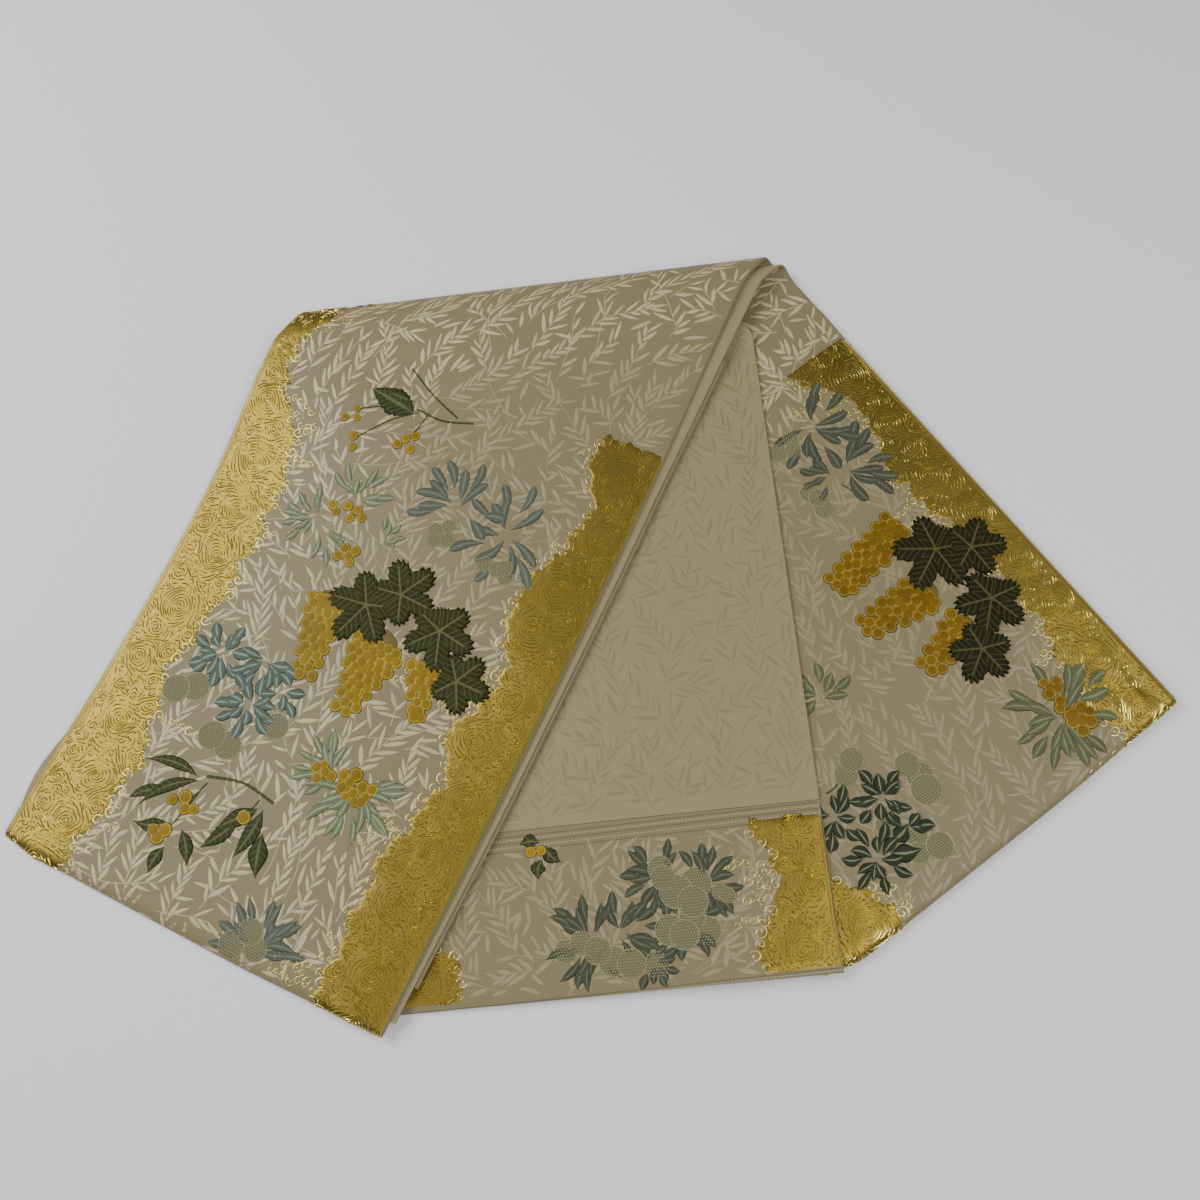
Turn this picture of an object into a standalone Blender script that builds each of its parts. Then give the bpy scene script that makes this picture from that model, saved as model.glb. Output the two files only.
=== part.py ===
"""Obi sash, folded up and laid flat: a wide band of doubled silk, fanned into three legs below one soft roll.

The left leg lies on top and goes over the roll. The right leg comes out from under it. The middle leg is the
band's end, tucked between them, with the front cloth turned back over its last stretch.

Metres, +Z up, the table at z = 0. Fold coordinates have x along the roll from its left end, and y away from the
legs; FOLD_LEFT places them so that the origin is under the middle of the whole sash.
"""

import math

import bmesh
import bpy
import numpy as np

# The band.
BAND_WIDTH = 0.310
CLOTH = 0.0010  # one cloth, the front or the back one
SEAM_GAP = 0.0003  # between two pieces that are sewn or lie together
LAYER = 2 * CLOTH + SEAM_GAP  # both cloths, as thick as the doubled band

# The fan, in fold coordinates. A leg's corners are where its top surface starts to turn over a fold.
FOLD_LEFT = (-0.2033, 0.2629)
LEG_ANGLE = math.radians(31.0)  # each outer leg leans this far from the middle one
FOLD_SPAN = BAND_WIDTH / math.cos(LEG_ANGLE)  # the band's slanting width where it meets the roll
ROLL_START = -0.012  # y where both rolls start
LEFT_TOP_RIGHT = (0.361, ROLL_START)
LEFT_TOP_LEFT = (-0.008, ROLL_START)
LEFT_BOTTOM_RIGHT = (0.0563, -0.5331)
RIGHT_TOP_RIGHT = (0.403, ROLL_START)
RIGHT_BOTTOM_RIGHT = (0.6160, -0.3634)
END_RIGHT = 0.3635
END_LEFT = END_RIGHT - BAND_WIDTH
END_BOTTOM = -0.5245
TURN_BACK = 0.1140  # length of front cloth turned back over the middle leg's end
LEFT_SWAY = (0.0065, 0.0100)  # how far the left leg's right and left edges bow to the right half way down
SWAY_POWER = 1.5  # higher is a sharper bow
END_CORNER_IN = 0.0081  # the middle leg's top right corner is drawn in this far,
END_CORNER_FROM = -0.0620  # from this y
END_CORNER_SPAN = 0.0186  # over this length

# Heights above the table.
RIGHT_TOP = 3 * LAYER + 2 * SEAM_GAP  # the right leg is a stack of three layers
STACK_GAP = 0.0012  # left under the left leg where it is draped over the middle one
LEFT_STACK = 0.0078  # the left leg's own stack of three layers
FOLD_TOP = (0.0165, 0.0240)  # top of the roll at its left and right ends
END_REST = 0.0012  # underside of the middle leg where nothing lies under it
END_OVERHANG = 0.008  # how far past the right leg's edge the middle leg keeps its height
END_DROP = 0.130  # and over what width it then comes down
END_CURL = 0.0025  # the middle leg's last stretch turns up this much
CURL_FROM = 0.020  # from this far inside its left edge
CURL_SPAN = (0.090, 0.070)  # across and along the leg
CURL_FADE = 0.050  # and it fades out this near the right leg
TUCK_RISE = 0.0046  # the middle leg's top corner rises this much into the roll
TUCK_FROM = (0.200, -0.068)
TUCK_SPAN = (0.130, 0.024)
DRAPE_LOW = (0.072, 0.058)  # the left leg's underside lifts this far outside its support, over this width
DRAPE_TOP = 0.120  # and its top surface over this width
ROLL_RISE = 0.110  # length over which the left leg's top rises to the roll

# Folds: how far each reaches past the line where it starts.
ROLL_REACH = 0.0240  # the outer roll
INNER_REACH = 0.0160  # the roll of the second layer
INNER_SWING = 0.0060  # its right end swings out this much half way round
END_REACH = (0.0055, 0.0090)  # the folds at the bottom of the outer legs: at the outer corner, and elsewhere
END_REACH_SPAN = 0.40  # share of a leg's width between the two
INNER_END_REACH = {-1: 0.0055, 1: 0.0032}  # and at the left and right leg's inner corners
TUCK_UNDER = 0.040  # share of a leg's length that the cloth runs back under its bottom fold
ROLL_UNDER = 0.020  # how far the outer layer runs on under the roll
INNER_DROP = 0.0018  # extra drop of the second layer where it goes into the roll
INNER_INSET = 0.0030  # and its left edge lies this far inside the top layer's
UNDER_ROLL_RIGHT = (0.4060, ROLL_START)  # the outer layer's right and left edges where it comes out of the roll
UNDER_ROLL_LEFT = (0.0390, ROLL_START)
INNER_FROM = 0.88  # share of the left leg where the second layer's own walls take over from the stack

# How far the lower layers stick out past the left leg's right edge, at shares of its length from the bottom.
STICK_SHARE = (0.00, 0.35, 0.69, 0.82, 0.90, 1.00)
STICK_OUT = (0.0052, 0.0058, 0.0070, 0.0098, 0.0116, 0.0135)
THIRD_LAYER_OUT = 0.0026  # and the third layer past the second
THIRD_LAYER_END = (INNER_FROM + 0.02, 0.03)  # its last share, and over what share it comes back in
LEFT_BULGE = 0.0080  # the lowest layer bulges out past the left edge near the bottom
UPPER_BULGE = 0.6  # and the one above it by this share of that
LEFT_BULGE_SHARE = 0.115
LEFT_BULGE_WIDTH = 0.075
STACK_INSET = 0.0012  # how far a stack's hidden edges stay inside the layer above
PEEK_OUT = 0.0030  # the right leg's lowest layer sticks out by its top, at these shares of its length
PEEK_FROM, PEEK_TO = 0.80, 0.90
RIGHT_STACK_END = 0.935  # share of the right leg where its stack ends
STACK_END_GAP = 0.0004  # between the end of the left stack and the second layer's own walls
GROOVE_DEPTH = 0.0030  # between two stacked layers' edges
GROOVE_HALF = 0.0002

COLUMNS = 11  # cells across the band
FOLD_STEP = 0.001  # share of a leg over which a stack steps over the cloth tucked under its bottom fold
STEP_SHARES = (TUCK_UNDER + FOLD_STEP, TUCK_UNDER + 2 * FOLD_STEP)
FIRST_SHARE = 0.08  # the first row above that step
LEFT_SHARES = (
    *(0.0, TUCK_UNDER / 2, *STEP_SHARES),
    *np.linspace(FIRST_SHARE, INNER_FROM, 14),
    *np.linspace(INNER_FROM, 1.0, 4)[1:],
)  # where the left leg's rows lie, as shares of its length from the bottom
RIGHT_SHARES = (0.0, *STEP_SHARES, *np.linspace(FIRST_SHARE, RIGHT_STACK_END, 12))
EDGE_ANGLES = (60, 0, -60)  # points round a hidden layer's rounded edge, in degrees

FRONT_SILK = (0.53, 0.43, 0.31)
BACK_SILK = (0.48, 0.40, 0.30)
FIGURED_SILK = (0.50, 0.39, 0.22)


def smooth(share):
    """0 below 0, 1 above 1, and an even S curve between them."""
    share = np.clip(share, 0.0, 1.0)
    return share * share * (3.0 - 2.0 * share)


def mix(first, second, share):
    return np.asarray(first) * (1.0 - share) + np.asarray(second) * share


def heading(side):
    """Unit vector down a leg: side is -1 for the left leg and 1 for the right one."""
    return np.array([side * math.sin(LEG_ANGLE), -math.cos(LEG_ANGLE)])


def across(side):
    """Unit vector from a leg's right edge to its left one, square to the leg."""
    return np.array([-math.cos(LEG_ANGLE), -side * math.sin(LEG_ANGLE)])


LEFT_BOTTOM_LEFT = tuple(LEFT_BOTTOM_RIGHT + BAND_WIDTH * across(-1))
RIGHT_BOTTOM_LEFT = tuple(RIGHT_BOTTOM_RIGHT + BAND_WIDTH * across(1))
RIGHT_TOP_LEFT = (RIGHT_TOP_RIGHT[0] - FOLD_SPAN, ROLL_START)


# Heights of what lies on what, from fold coordinates.


def inside_right_leg(x, y):
    """Distance inside the right leg's left edge."""
    edge = RIGHT_TOP_LEFT[0] - (y - ROLL_START) * math.tan(LEG_ANGLE)
    return (x - edge) * math.cos(LEG_ANGLE)


def end_low(x, y):
    """Underside of the middle leg: on the right leg, then down to the table past its edge."""
    on_leg = RIGHT_TOP + SEAM_GAP
    past_edge = inside_right_leg(x, y) + END_OVERHANG
    height = END_REST + (on_leg - END_REST) * smooth(1.0 + past_edge / END_DROP)
    curl_across = smooth((x - END_LEFT - CURL_FROM) / CURL_SPAN[0])
    curl_along = smooth(1.0 + (END_BOTTOM - y) / CURL_SPAN[1])
    room = 1.0 - smooth(1.0 + past_edge / CURL_FADE)
    return height + END_CURL * curl_across * curl_along * room


def tuck_rise(x, y):
    """How far the middle leg's top corner lifts as it goes into the roll."""
    along_x = smooth((x - TUCK_FROM[0]) / TUCK_SPAN[0])
    return TUCK_RISE * along_x * smooth((y - TUCK_FROM[1]) / TUCK_SPAN[1])


def support_edge(x, y):
    """Distance inside the nearest edge of what lies under the left leg."""
    return np.maximum(x - END_LEFT, inside_right_leg(x, y))


def left_support(x, y):
    return end_low(x, y) + LAYER + STACK_GAP


def left_low(x, y):
    """Underside of the left leg's stack: on the table, and draped over the middle leg."""
    return left_support(x, y) * smooth((support_edge(x, y) + DRAPE_LOW[0]) / DRAPE_LOW[1])


def fold_top(x):
    return FOLD_TOP[0] + (FOLD_TOP[1] - FOLD_TOP[0]) * np.clip(x / LEFT_TOP_RIGHT[0], 0.0, 1.05)


def left_top(x, y):
    """Top surface of the left leg, rising to the roll over its last stretch."""
    draped = LEFT_STACK + left_support(x, y) * smooth(1.0 + support_edge(x, y) / DRAPE_TOP)
    return mix(draped, fold_top(x), smooth(1.0 + (y - ROLL_START) / ROLL_RISE))


# Rows of points across a leg, from its bottom fold (share 0) to the roll (share 1).


def sway(share):
    """Both edges of the left leg bow to the right."""
    return (4.0 * share * (1.0 - share)) ** SWAY_POWER


def left_edges(share):
    right = mix(LEFT_BOTTOM_RIGHT, LEFT_TOP_RIGHT, share) + (LEFT_SWAY[0] * sway(share), 0.0)
    left = mix(LEFT_BOTTOM_LEFT, LEFT_TOP_LEFT, share) + (LEFT_SWAY[1] * sway(share), 0.0)
    return right, left


def right_edges(share):
    right = mix(RIGHT_BOTTOM_RIGHT, RIGHT_TOP_RIGHT, share)
    left = mix(RIGHT_BOTTOM_LEFT, RIGHT_TOP_LEFT, share)
    return right, left


def spread(right, left, more=()):
    """Even points from the right end to the left one; more holds two lengths, for a point past each end."""
    right, left = np.asarray(right), np.asarray(left)
    shares = np.linspace(0.0, 1.0, COLUMNS + 1)
    if more:
        past = np.array(more) / np.linalg.norm(left - right)
        shares = np.array([-past[0], *shares, 1.0 + past[1]])
    return right + shares[:, None] * (left - right)


def stick_out(share):
    return float(np.interp(share, STICK_SHARE, STICK_OUT))


def left_bulge(share):
    return LEFT_BULGE * math.exp(-(((share - LEFT_BULGE_SHARE) / LEFT_BULGE_WIDTH) ** 2))


def raised(points, height):
    """3-D points over the 2-D ones; height is one number or one for each point."""
    return np.column_stack([points, np.broadcast_to(height, len(points))])


def fold_angles(reach, rise, steps):
    """Angles round half an ellipse that split its length evenly, without the two ends."""
    fine = np.linspace(0.0, math.pi, 181)
    outline = np.column_stack([reach * np.sin(fine), rise * np.cos(fine)])
    length = np.concatenate([[0.0], np.cumsum(np.linalg.norm(np.diff(outline, axis=0), axis=1))])
    return np.interp(np.linspace(0.0, length[-1], steps + 1)[1:-1], length, fine)


def end_reach(side):
    """How far a leg's bottom fold reaches at each column: least at its two corners."""
    shares = np.linspace(0.0, 1.0, COLUMNS + 1)
    reach = mix(END_REACH[0], END_REACH[1], smooth(shares / END_REACH_SPAN))
    reach[-1] = INNER_END_REACH[side]
    return reach[::side]


def folded(start, out, reach, low, high, inset, angle):
    """Points at an angle round a fold between heights low and high; inset moves them in from its outside."""
    half = (high - low) / 2.0
    points = start + np.multiply.outer(reach - inset, out) * math.sin(angle)
    return raised(points, low + half + (half - inset) * math.cos(angle))


# Sheets. Each returns its rows of points at a distance in from its outer face.


def left_rows(inset):
    """The left leg's top layer: back under its bottom fold, up the leg, over the roll and under it."""
    down = heading(-1)
    rows = []
    for share in np.linspace(TUCK_UNDER, 0.0, 3):
        points = spread(*left_edges(share))
        rows.append(raised(points, left_low(*points.T) + inset))
    bottom = spread(*left_edges(0.0))
    low, high = left_low(*bottom.T), left_top(*bottom.T)
    for angle in fold_angles(END_REACH[1], LEFT_STACK / 2, 6)[::-1]:
        rows.append(folded(bottom, down, end_reach(-1), low, high, inset, angle))
    for share in LEFT_SHARES:
        points = spread(*left_edges(share))
        rows.append(raised(points, left_top(*points.T) - inset))
    top = spread(*left_edges(1.0))
    under = spread(UNDER_ROLL_RIGHT, UNDER_ROLL_LEFT)
    angles = fold_angles(ROLL_REACH, FOLD_TOP[0] / 2, 12)
    for step, angle in enumerate(angles, start=1):
        points = mix(top, under, step / (len(angles) + 1))
        rows.append(folded(points, np.array([0.0, 1.0]), ROLL_REACH, 0.0, fold_top(top[:, 0]), inset, angle))
    run = ROLL_UNDER / math.cos(LEG_ANGLE)
    for way in (0.0, run):
        rows.append(raised(under + heading(1) * way, inset))
    return rows


def second_layer_height(points, share, inset):
    drop = LAYER + SEAM_GAP + INNER_DROP * smooth((share - INNER_FROM) / (1.0 - INNER_FROM))
    return left_top(*points.T) - drop - inset


def right_rows(inset):
    """The layer under the left leg's, from there round the inner roll and down the right leg to its fold.

    The back cloth is outside the roll and below the leg, so inset leads from it to the front cloth.
    """
    rows = []
    for share in LEFT_SHARES[-4:]:
        points = spread(*left_edges(share))
        points[:, 1] += STACK_END_GAP * (share == INNER_FROM)
        points[0, 0] += stick_out(share)
        points[-1, 0] += INNER_INSET
        rows.append(raised(points, second_layer_height(points, share, inset)))
    top = rows[-1][:, :2]
    under = spread(*right_edges(1.0))
    low = RIGHT_TOP - LAYER
    high = second_layer_height(top, 1.0, 0.0)
    angles = fold_angles(INNER_REACH, (high[0] - low) / 2.0, 10)
    for step, angle in enumerate(angles, start=1):
        points = mix(top, under, step / (len(angles) + 1))
        points[:, 0] += INNER_SWING * math.sin(angle) * np.linspace(1.0, 0.0, COLUMNS + 1)
        rows.append(folded(points, np.array([0.0, 1.0]), INNER_REACH, low, high, inset, angle))
    for share in np.linspace(1.0, 0.0, 12):
        points = spread(*right_edges(share))
        rows.append(raised(points, low + inset))
    bottom = spread(*right_edges(0.0))
    from_outside = LAYER - inset
    for angle in fold_angles(END_REACH[1], RIGHT_TOP / 2, 6):
        rows.append(folded(bottom, heading(1), end_reach(1), 0.0, RIGHT_TOP, from_outside, angle))
    for share in np.linspace(0.0, TUCK_UNDER, 3):
        points = spread(*right_edges(share))
        rows.append(raised(points, from_outside))
    return rows


def end_right_edge(y):
    """The middle leg's right edge, drawn in to the left where it goes into the roll."""
    return END_RIGHT - END_CORNER_IN * np.clip((y - END_CORNER_FROM) / END_CORNER_SPAN, 0.0, 1.0) ** 3


def end_row(y_right, y_left, inset):
    points = spread((end_right_edge(y_right), y_right), (END_LEFT, y_left))
    low = end_low(*points.T) + tuck_rise(*points.T)
    return raised(points, low + inset)


# y at the right and left ends of the middle leg's slanting top rows.
END_TOP_ROWS = ((-0.0434, -0.035), (-0.049, -0.042), (-0.058, -0.050), (-0.068, -0.062), (-0.080, -0.080))
END_SQUARE_FROM = -0.110  # and the y where its rows run square across
TURN_LINE = END_BOTTOM + TURN_BACK  # where the turned-back front cloth meets the back cloth
LAST_ROWS = np.linspace(TURN_LINE, END_BOTTOM + LAYER / 2, 5)


def end_leg_rows(inset):
    """The middle leg from its tucked top down to the line where the turned-back cloth ends."""
    rows = [end_row(right, left, inset) for right, left in END_TOP_ROWS]
    return rows + [end_row(y, y, inset) for y in np.linspace(END_SQUARE_FROM, TURN_LINE + SEAM_GAP, 10)]


def end_front_rows(inset):
    """The middle leg's front cloth: down its underside, round the end, and back over it."""
    rows = end_leg_rows(inset) + [end_row(y, y, inset) for y in LAST_ROWS[1:]]
    start = rows[-1][:, :2]
    low = end_low(*start.T)
    for angle in fold_angles(LAYER / 2, LAYER / 2, 4)[::-1]:
        rows.append(folded(start, np.array([0.0, -1.0]), LAYER / 2, low, low + LAYER, inset, angle))
    return rows + [end_row(y, y, LAYER - inset) for y in LAST_ROWS[::-1]]


def end_back_rows(inset):
    """The middle leg's back cloth, which shows: from the tucked top to the turned-back front cloth."""
    return end_leg_rows(CLOTH + SEAM_GAP + inset)


# Stacks of hidden layers: one rounded solid each, with a ring of points at every row.


def layer_edge(corner, out, high, low, width):
    """Points down one layer's rounded edge; corner is the edge's 2-D point, and width how far the layer reaches."""
    half = (high - low) / 2.0
    points = []
    for degrees in EDGE_ANGLES:
        angle = math.radians(degrees)
        reach = width - half + half * math.cos(angle)
        points.append([*(corner + out * reach), low + half + half * math.sin(angle)])
    return points


def stack_side(corner, out, high, low, widths):
    """Points down the edges of two layers, with a groove between them."""
    middle = (high + low) / 2.0
    groove = min(widths) - GROOVE_DEPTH
    return (
        layer_edge(corner, out, high, middle + GROOVE_HALF, widths[0])
        + [[*(corner + out * groove), middle]]
        + layer_edge(corner, out, middle - GROOVE_HALF, low, widths[1])
    )


def stack_ring(right, left, high_of, low_of, right_widths, left_widths):
    """A closed ring round a stack of two layers, at one row across the leg."""
    right, left = np.asarray(right), np.asarray(left)
    out = (right - left) / np.linalg.norm(right - left)
    top = spread(right, left, (right_widths[0] - LAYER / 2, left_widths[0] - LAYER / 2))
    base = spread(right, left, (right_widths[1] - LAYER / 2, left_widths[1] - LAYER / 2))
    tops, bases = raised(top, high_of(top)), raised(base, low_of(base))
    right_side = stack_side(right, out, tops[0, 2], bases[0, 2], right_widths)
    left_side = stack_side(left, -out, tops[-1, 2], bases[-1, 2], left_widths)
    return np.vstack([tops, left_side, bases[::-1], right_side[::-1]])


def left_stack_rings():
    rings = []
    for share in LEFT_SHARES[:-3]:
        lift = LAYER + 2 * SEAM_GAP if share < STEP_SHARES[1] else 0.0
        out = stick_out(share)
        third = THIRD_LAYER_OUT * smooth((THIRD_LAYER_END[0] - share) / THIRD_LAYER_END[1])
        bulge = left_bulge(share)
        rings.append(
            stack_ring(
                *left_edges(share),
                lambda p: left_top(*p.T) - LAYER - SEAM_GAP,
                lambda p, lift=lift: left_low(*p.T) + lift,
                (out, out + third),
                (bulge * UPPER_BULGE - STACK_INSET, bulge),
            )
        )
    return rings


def right_stack_rings():
    rings = []
    for share in RIGHT_SHARES:
        lift = LAYER + SEAM_GAP if share < STEP_SHARES[1] else 0.0
        peek = PEEK_OUT * smooth((share - PEEK_FROM) / (PEEK_TO - PEEK_FROM)) - STACK_INSET
        rings.append(
            stack_ring(
                *right_edges(share),
                lambda p: np.full(len(p), RIGHT_TOP - LAYER - SEAM_GAP),
                lambda p, lift=lift: np.full(len(p), lift),
                (peek, peek),
                (-STACK_INSET, -STACK_INSET),
            )
        )
    return rings


# Meshes.


def silk(name, colour):
    material = bpy.data.materials.new(name)
    material.use_nodes = True
    shader = material.node_tree.nodes["Principled BSDF"]
    shader.inputs["Base Color"].default_value = (*colour, 1.0)
    shader.inputs["Roughness"].default_value = 0.5
    shader.inputs["Metallic"].default_value = 0.0
    return material


def add_object(name, points, faces, colour):
    """A mesh object from points in fold coordinates, with its faces turned outwards."""
    points = np.asarray(points) + (*FOLD_LEFT, 0.0)
    mesh = bpy.data.meshes.new(name)
    mesh.from_pydata(points.tolist(), [], faces)
    shape = bmesh.new()
    shape.from_mesh(mesh)
    bmesh.ops.recalc_face_normals(shape, faces=shape.faces)
    shape.to_mesh(mesh)
    shape.free()
    mesh.shade_smooth()
    mesh.set_sharp_from_angle(angle=math.radians(40))
    mesh.materials.append(silk(name + "_silk", colour))
    bpy.context.scene.collection.objects.link(bpy.data.objects.new(name, mesh))


def halves(a, b, c, d):
    """A cell's two triangles. They meet on the same diagonal in every sheet, so that sheets stay parallel."""
    return [(int(a), int(b), int(c)), (int(a), int(c), int(d))]


def add_wall(name, rows_at, near, far, colour):
    """A cloth: a closed wall between a sheet's rows at two distances in from its outer face."""
    outer, inner = np.array(rows_at(near)), np.array(rows_at(far))
    rows, columns = outer.shape[:2]
    number = np.arange(rows * columns).reshape(rows, columns)
    deep = number + rows * columns
    faces = []
    for r in range(rows - 1):
        for c in range(columns - 1):
            cell = (r, c), (r, c + 1), (r + 1, c + 1), (r + 1, c)
            faces += halves(*(number[corner] for corner in cell))
            faces += halves(*(deep[corner] for corner in cell))
    rim = [*number[0, :], *number[1:, -1], *number[-1, -2::-1], *number[-2:0:-1, 0]]
    for this, following in zip(rim, rim[1:] + rim[:1]):
        shift = rows * columns
        faces += halves(following, this, this + shift, following + shift)
    add_object(name, np.vstack([outer.reshape(-1, 3), inner.reshape(-1, 3)]), faces, colour)


def add_stack(name, rings, colour):
    """A closed solid through rings of the same number of points."""
    count = len(rings[0])
    faces = [tuple(range(count)), tuple(range((len(rings) - 1) * count, len(rings) * count))[::-1]]
    for ring in range(len(rings) - 1):
        for point in range(count):
            after = (point + 1) % count
            near, far = ring * count, (ring + 1) * count
            faces += halves(near + point, near + after, far + after, far + point)
    add_object(name, np.vstack(rings), faces, colour)


def clear_scene():
    for old in list(bpy.data.objects):
        bpy.data.objects.remove(old, do_unlink=True)


def main():
    clear_scene()
    add_wall("left_front_cloth", left_rows, 0.0, CLOTH, FIGURED_SILK)
    add_wall("left_back_cloth", left_rows, CLOTH + SEAM_GAP, LAYER, BACK_SILK)
    add_stack("left_inner_layers", left_stack_rings(), BACK_SILK)
    add_wall("right_back_cloth", right_rows, 0.0, CLOTH, BACK_SILK)
    add_wall("right_front_cloth", right_rows, CLOTH + SEAM_GAP, LAYER, FRONT_SILK)
    add_stack("right_inner_layers", right_stack_rings(), BACK_SILK)
    add_wall("end_back_cloth", end_back_rows, 0.0, CLOTH, BACK_SILK)
    add_wall("end_front_cloth", end_front_rows, 0.0, CLOTH, FIGURED_SILK)


main()
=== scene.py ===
"""Looks of a folded obi sash: figured silk with woven leaves, fruit and a gold border, below a soft roll.

Each cloth is a thin shell on its solid's form. What is woven on it is drawn flat, on the leg's own plane, and
then laid on the cloth, so that it follows the leg, the roll and the folds.
"""

import math
from collections import namedtuple

import bpy
import numpy as np
from mathutils import Matrix, Vector


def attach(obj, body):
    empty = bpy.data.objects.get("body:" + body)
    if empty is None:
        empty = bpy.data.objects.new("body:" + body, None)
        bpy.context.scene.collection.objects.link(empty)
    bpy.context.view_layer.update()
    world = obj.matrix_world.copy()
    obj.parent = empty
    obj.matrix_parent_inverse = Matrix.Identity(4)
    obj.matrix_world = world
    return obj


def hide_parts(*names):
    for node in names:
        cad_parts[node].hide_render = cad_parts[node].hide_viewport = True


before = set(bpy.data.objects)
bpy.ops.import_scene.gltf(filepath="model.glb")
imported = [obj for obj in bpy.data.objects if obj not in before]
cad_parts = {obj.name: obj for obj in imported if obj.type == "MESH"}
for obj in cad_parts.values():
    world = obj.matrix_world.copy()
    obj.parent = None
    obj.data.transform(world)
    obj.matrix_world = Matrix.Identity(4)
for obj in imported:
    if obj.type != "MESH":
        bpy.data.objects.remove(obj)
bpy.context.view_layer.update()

MM = 0.001

# ---------------------------------------- sizes of the folded sash, in metres

BAND_WIDTH = 0.310
CLOTH = 0.0010  # one cloth
SEAM_GAP = 0.0003
LAYER = 2 * CLOTH + SEAM_GAP  # the doubled band

# Fold coordinates have x along the roll from its left end, and y away from the legs.
FOLD_LEFT = (-0.2033, 0.2629)
LEG_ANGLE = math.radians(31.0)
ROLL_START = -0.012
LEFT_TOP_RIGHT = (0.361, ROLL_START)
LEFT_TOP_LEFT = (-0.008, ROLL_START)
LEFT_BOTTOM_RIGHT = (0.0563, -0.5331)
RIGHT_TOP_RIGHT = (0.403, ROLL_START)
RIGHT_BOTTOM_RIGHT = (0.6160, -0.3634)
END_RIGHT = 0.3635
END_LEFT = END_RIGHT - BAND_WIDTH
END_BOTTOM = -0.5245
TURN_BACK = 0.1140
LEFT_SWAY = (0.0065, 0.0100)
SWAY_POWER = 1.5
END_CORNER_IN, END_CORNER_FROM, END_CORNER_SPAN = 0.0081, -0.0620, 0.0186

RIGHT_TOP = 3 * LAYER + 2 * SEAM_GAP
STACK_GAP = 0.0012
LEFT_STACK = 0.0078
FOLD_TOP = (0.0165, 0.0240)
END_REST = 0.0012
END_OVERHANG, END_DROP = 0.008, 0.130
END_CURL = 0.0025
CURL_FROM, CURL_SPAN, CURL_FADE = 0.020, (0.090, 0.070), 0.050
TUCK_RISE, TUCK_FROM, TUCK_SPAN = 0.0046, (0.200, -0.068), (0.130, 0.024)
DRAPE_LOW, DRAPE_TOP = (0.072, 0.058), 0.120
ROLL_RISE = 0.110

ROLL_REACH = 0.0240
INNER_REACH, INNER_SWING = 0.0160, 0.0060
END_REACH, END_REACH_SPAN = (0.0055, 0.0090), 0.40
INNER_END_REACH = {-1: 0.0055, 1: 0.0032}
TUCK_UNDER = 0.040
ROLL_UNDER = 0.020
INNER_DROP, INNER_INSET, INNER_FROM = 0.0018, 0.0030, 0.88
UNDER_ROLL_RIGHT = (0.4060, ROLL_START)
UNDER_ROLL_LEFT = (0.0390, ROLL_START)

STICK_SHARE = (0.00, 0.35, 0.69, 0.82, 0.90, 1.00)
STICK_OUT = (0.0052, 0.0058, 0.0070, 0.0098, 0.0116, 0.0135)
THIRD_LAYER_OUT = 0.0026
LEFT_BULGE, LEFT_BULGE_SHARE, LEFT_BULGE_WIDTH = 0.0080, 0.115, 0.075
UPPER_BULGE = 0.6
STACK_INSET = 0.0012
PEEK_OUT, PEEK_FROM, PEEK_TO = 0.0030, 0.80, 0.90
RIGHT_STACK_END = 0.935

# ---------------------------------------- how finely the cloths are drawn

ROW_STEP = 0.0032
EDGE_STEPS = (0.0, 0.00035, 0.0008, 0.0014, 0.0022, 0.0034)  # columns crowd together at a seamed edge
COLUMN_STEP = 0.0038
EDGE_ROUND = 0.0014  # how far in from a seamed edge the cloth starts to turn down


def edge_shares():
    edge = np.array(EDGE_STEPS) / BAND_WIDTH
    inside = np.linspace(edge[-1], 1 - edge[-1], int(BAND_WIDTH / COLUMN_STEP))
    return np.concatenate([edge[:-1], inside, 1 - edge[-2::-1]])


ACROSS = edge_shares()


def smooth(share):
    share = np.clip(share, 0.0, 1.0)
    return share * share * (3.0 - 2.0 * share)


def mix(first, second, share):
    return np.asarray(first) * (1.0 - share) + np.asarray(second) * share


def aside_of(way):
    """A quarter turn to the left of a flat direction, or of each in an array of them."""
    return np.stack([-way[..., 1], way[..., 0]], axis=-1)


def circle(angle):
    return np.stack([np.cos(angle), np.sin(angle)], axis=-1)


def pairs(first, second):
    return np.stack(np.broadcast_arrays(first, second), axis=-1)


def heading(side):
    """Unit vector down an outer leg: side is -1 for the left leg and 1 for the right one."""
    return np.array([side * math.sin(LEG_ANGLE), -math.cos(LEG_ANGLE)])


def across(side):
    """Unit vector from a leg's right edge to its left one."""
    return np.array([-math.cos(LEG_ANGLE), -side * math.sin(LEG_ANGLE)])


LEFT_BOTTOM_LEFT = LEFT_BOTTOM_RIGHT + BAND_WIDTH * across(-1)
RIGHT_BOTTOM_LEFT = RIGHT_BOTTOM_RIGHT + BAND_WIDTH * across(1)
RIGHT_TOP_LEFT = (RIGHT_TOP_RIGHT[0] - BAND_WIDTH / math.cos(LEG_ANGLE), ROLL_START)

# ---------------------------------------- heights of what lies on what


def inside_right_leg(x, y):
    edge = RIGHT_TOP_LEFT[0] - (y - ROLL_START) * math.tan(LEG_ANGLE)
    return (x - edge) * math.cos(LEG_ANGLE)


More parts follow.
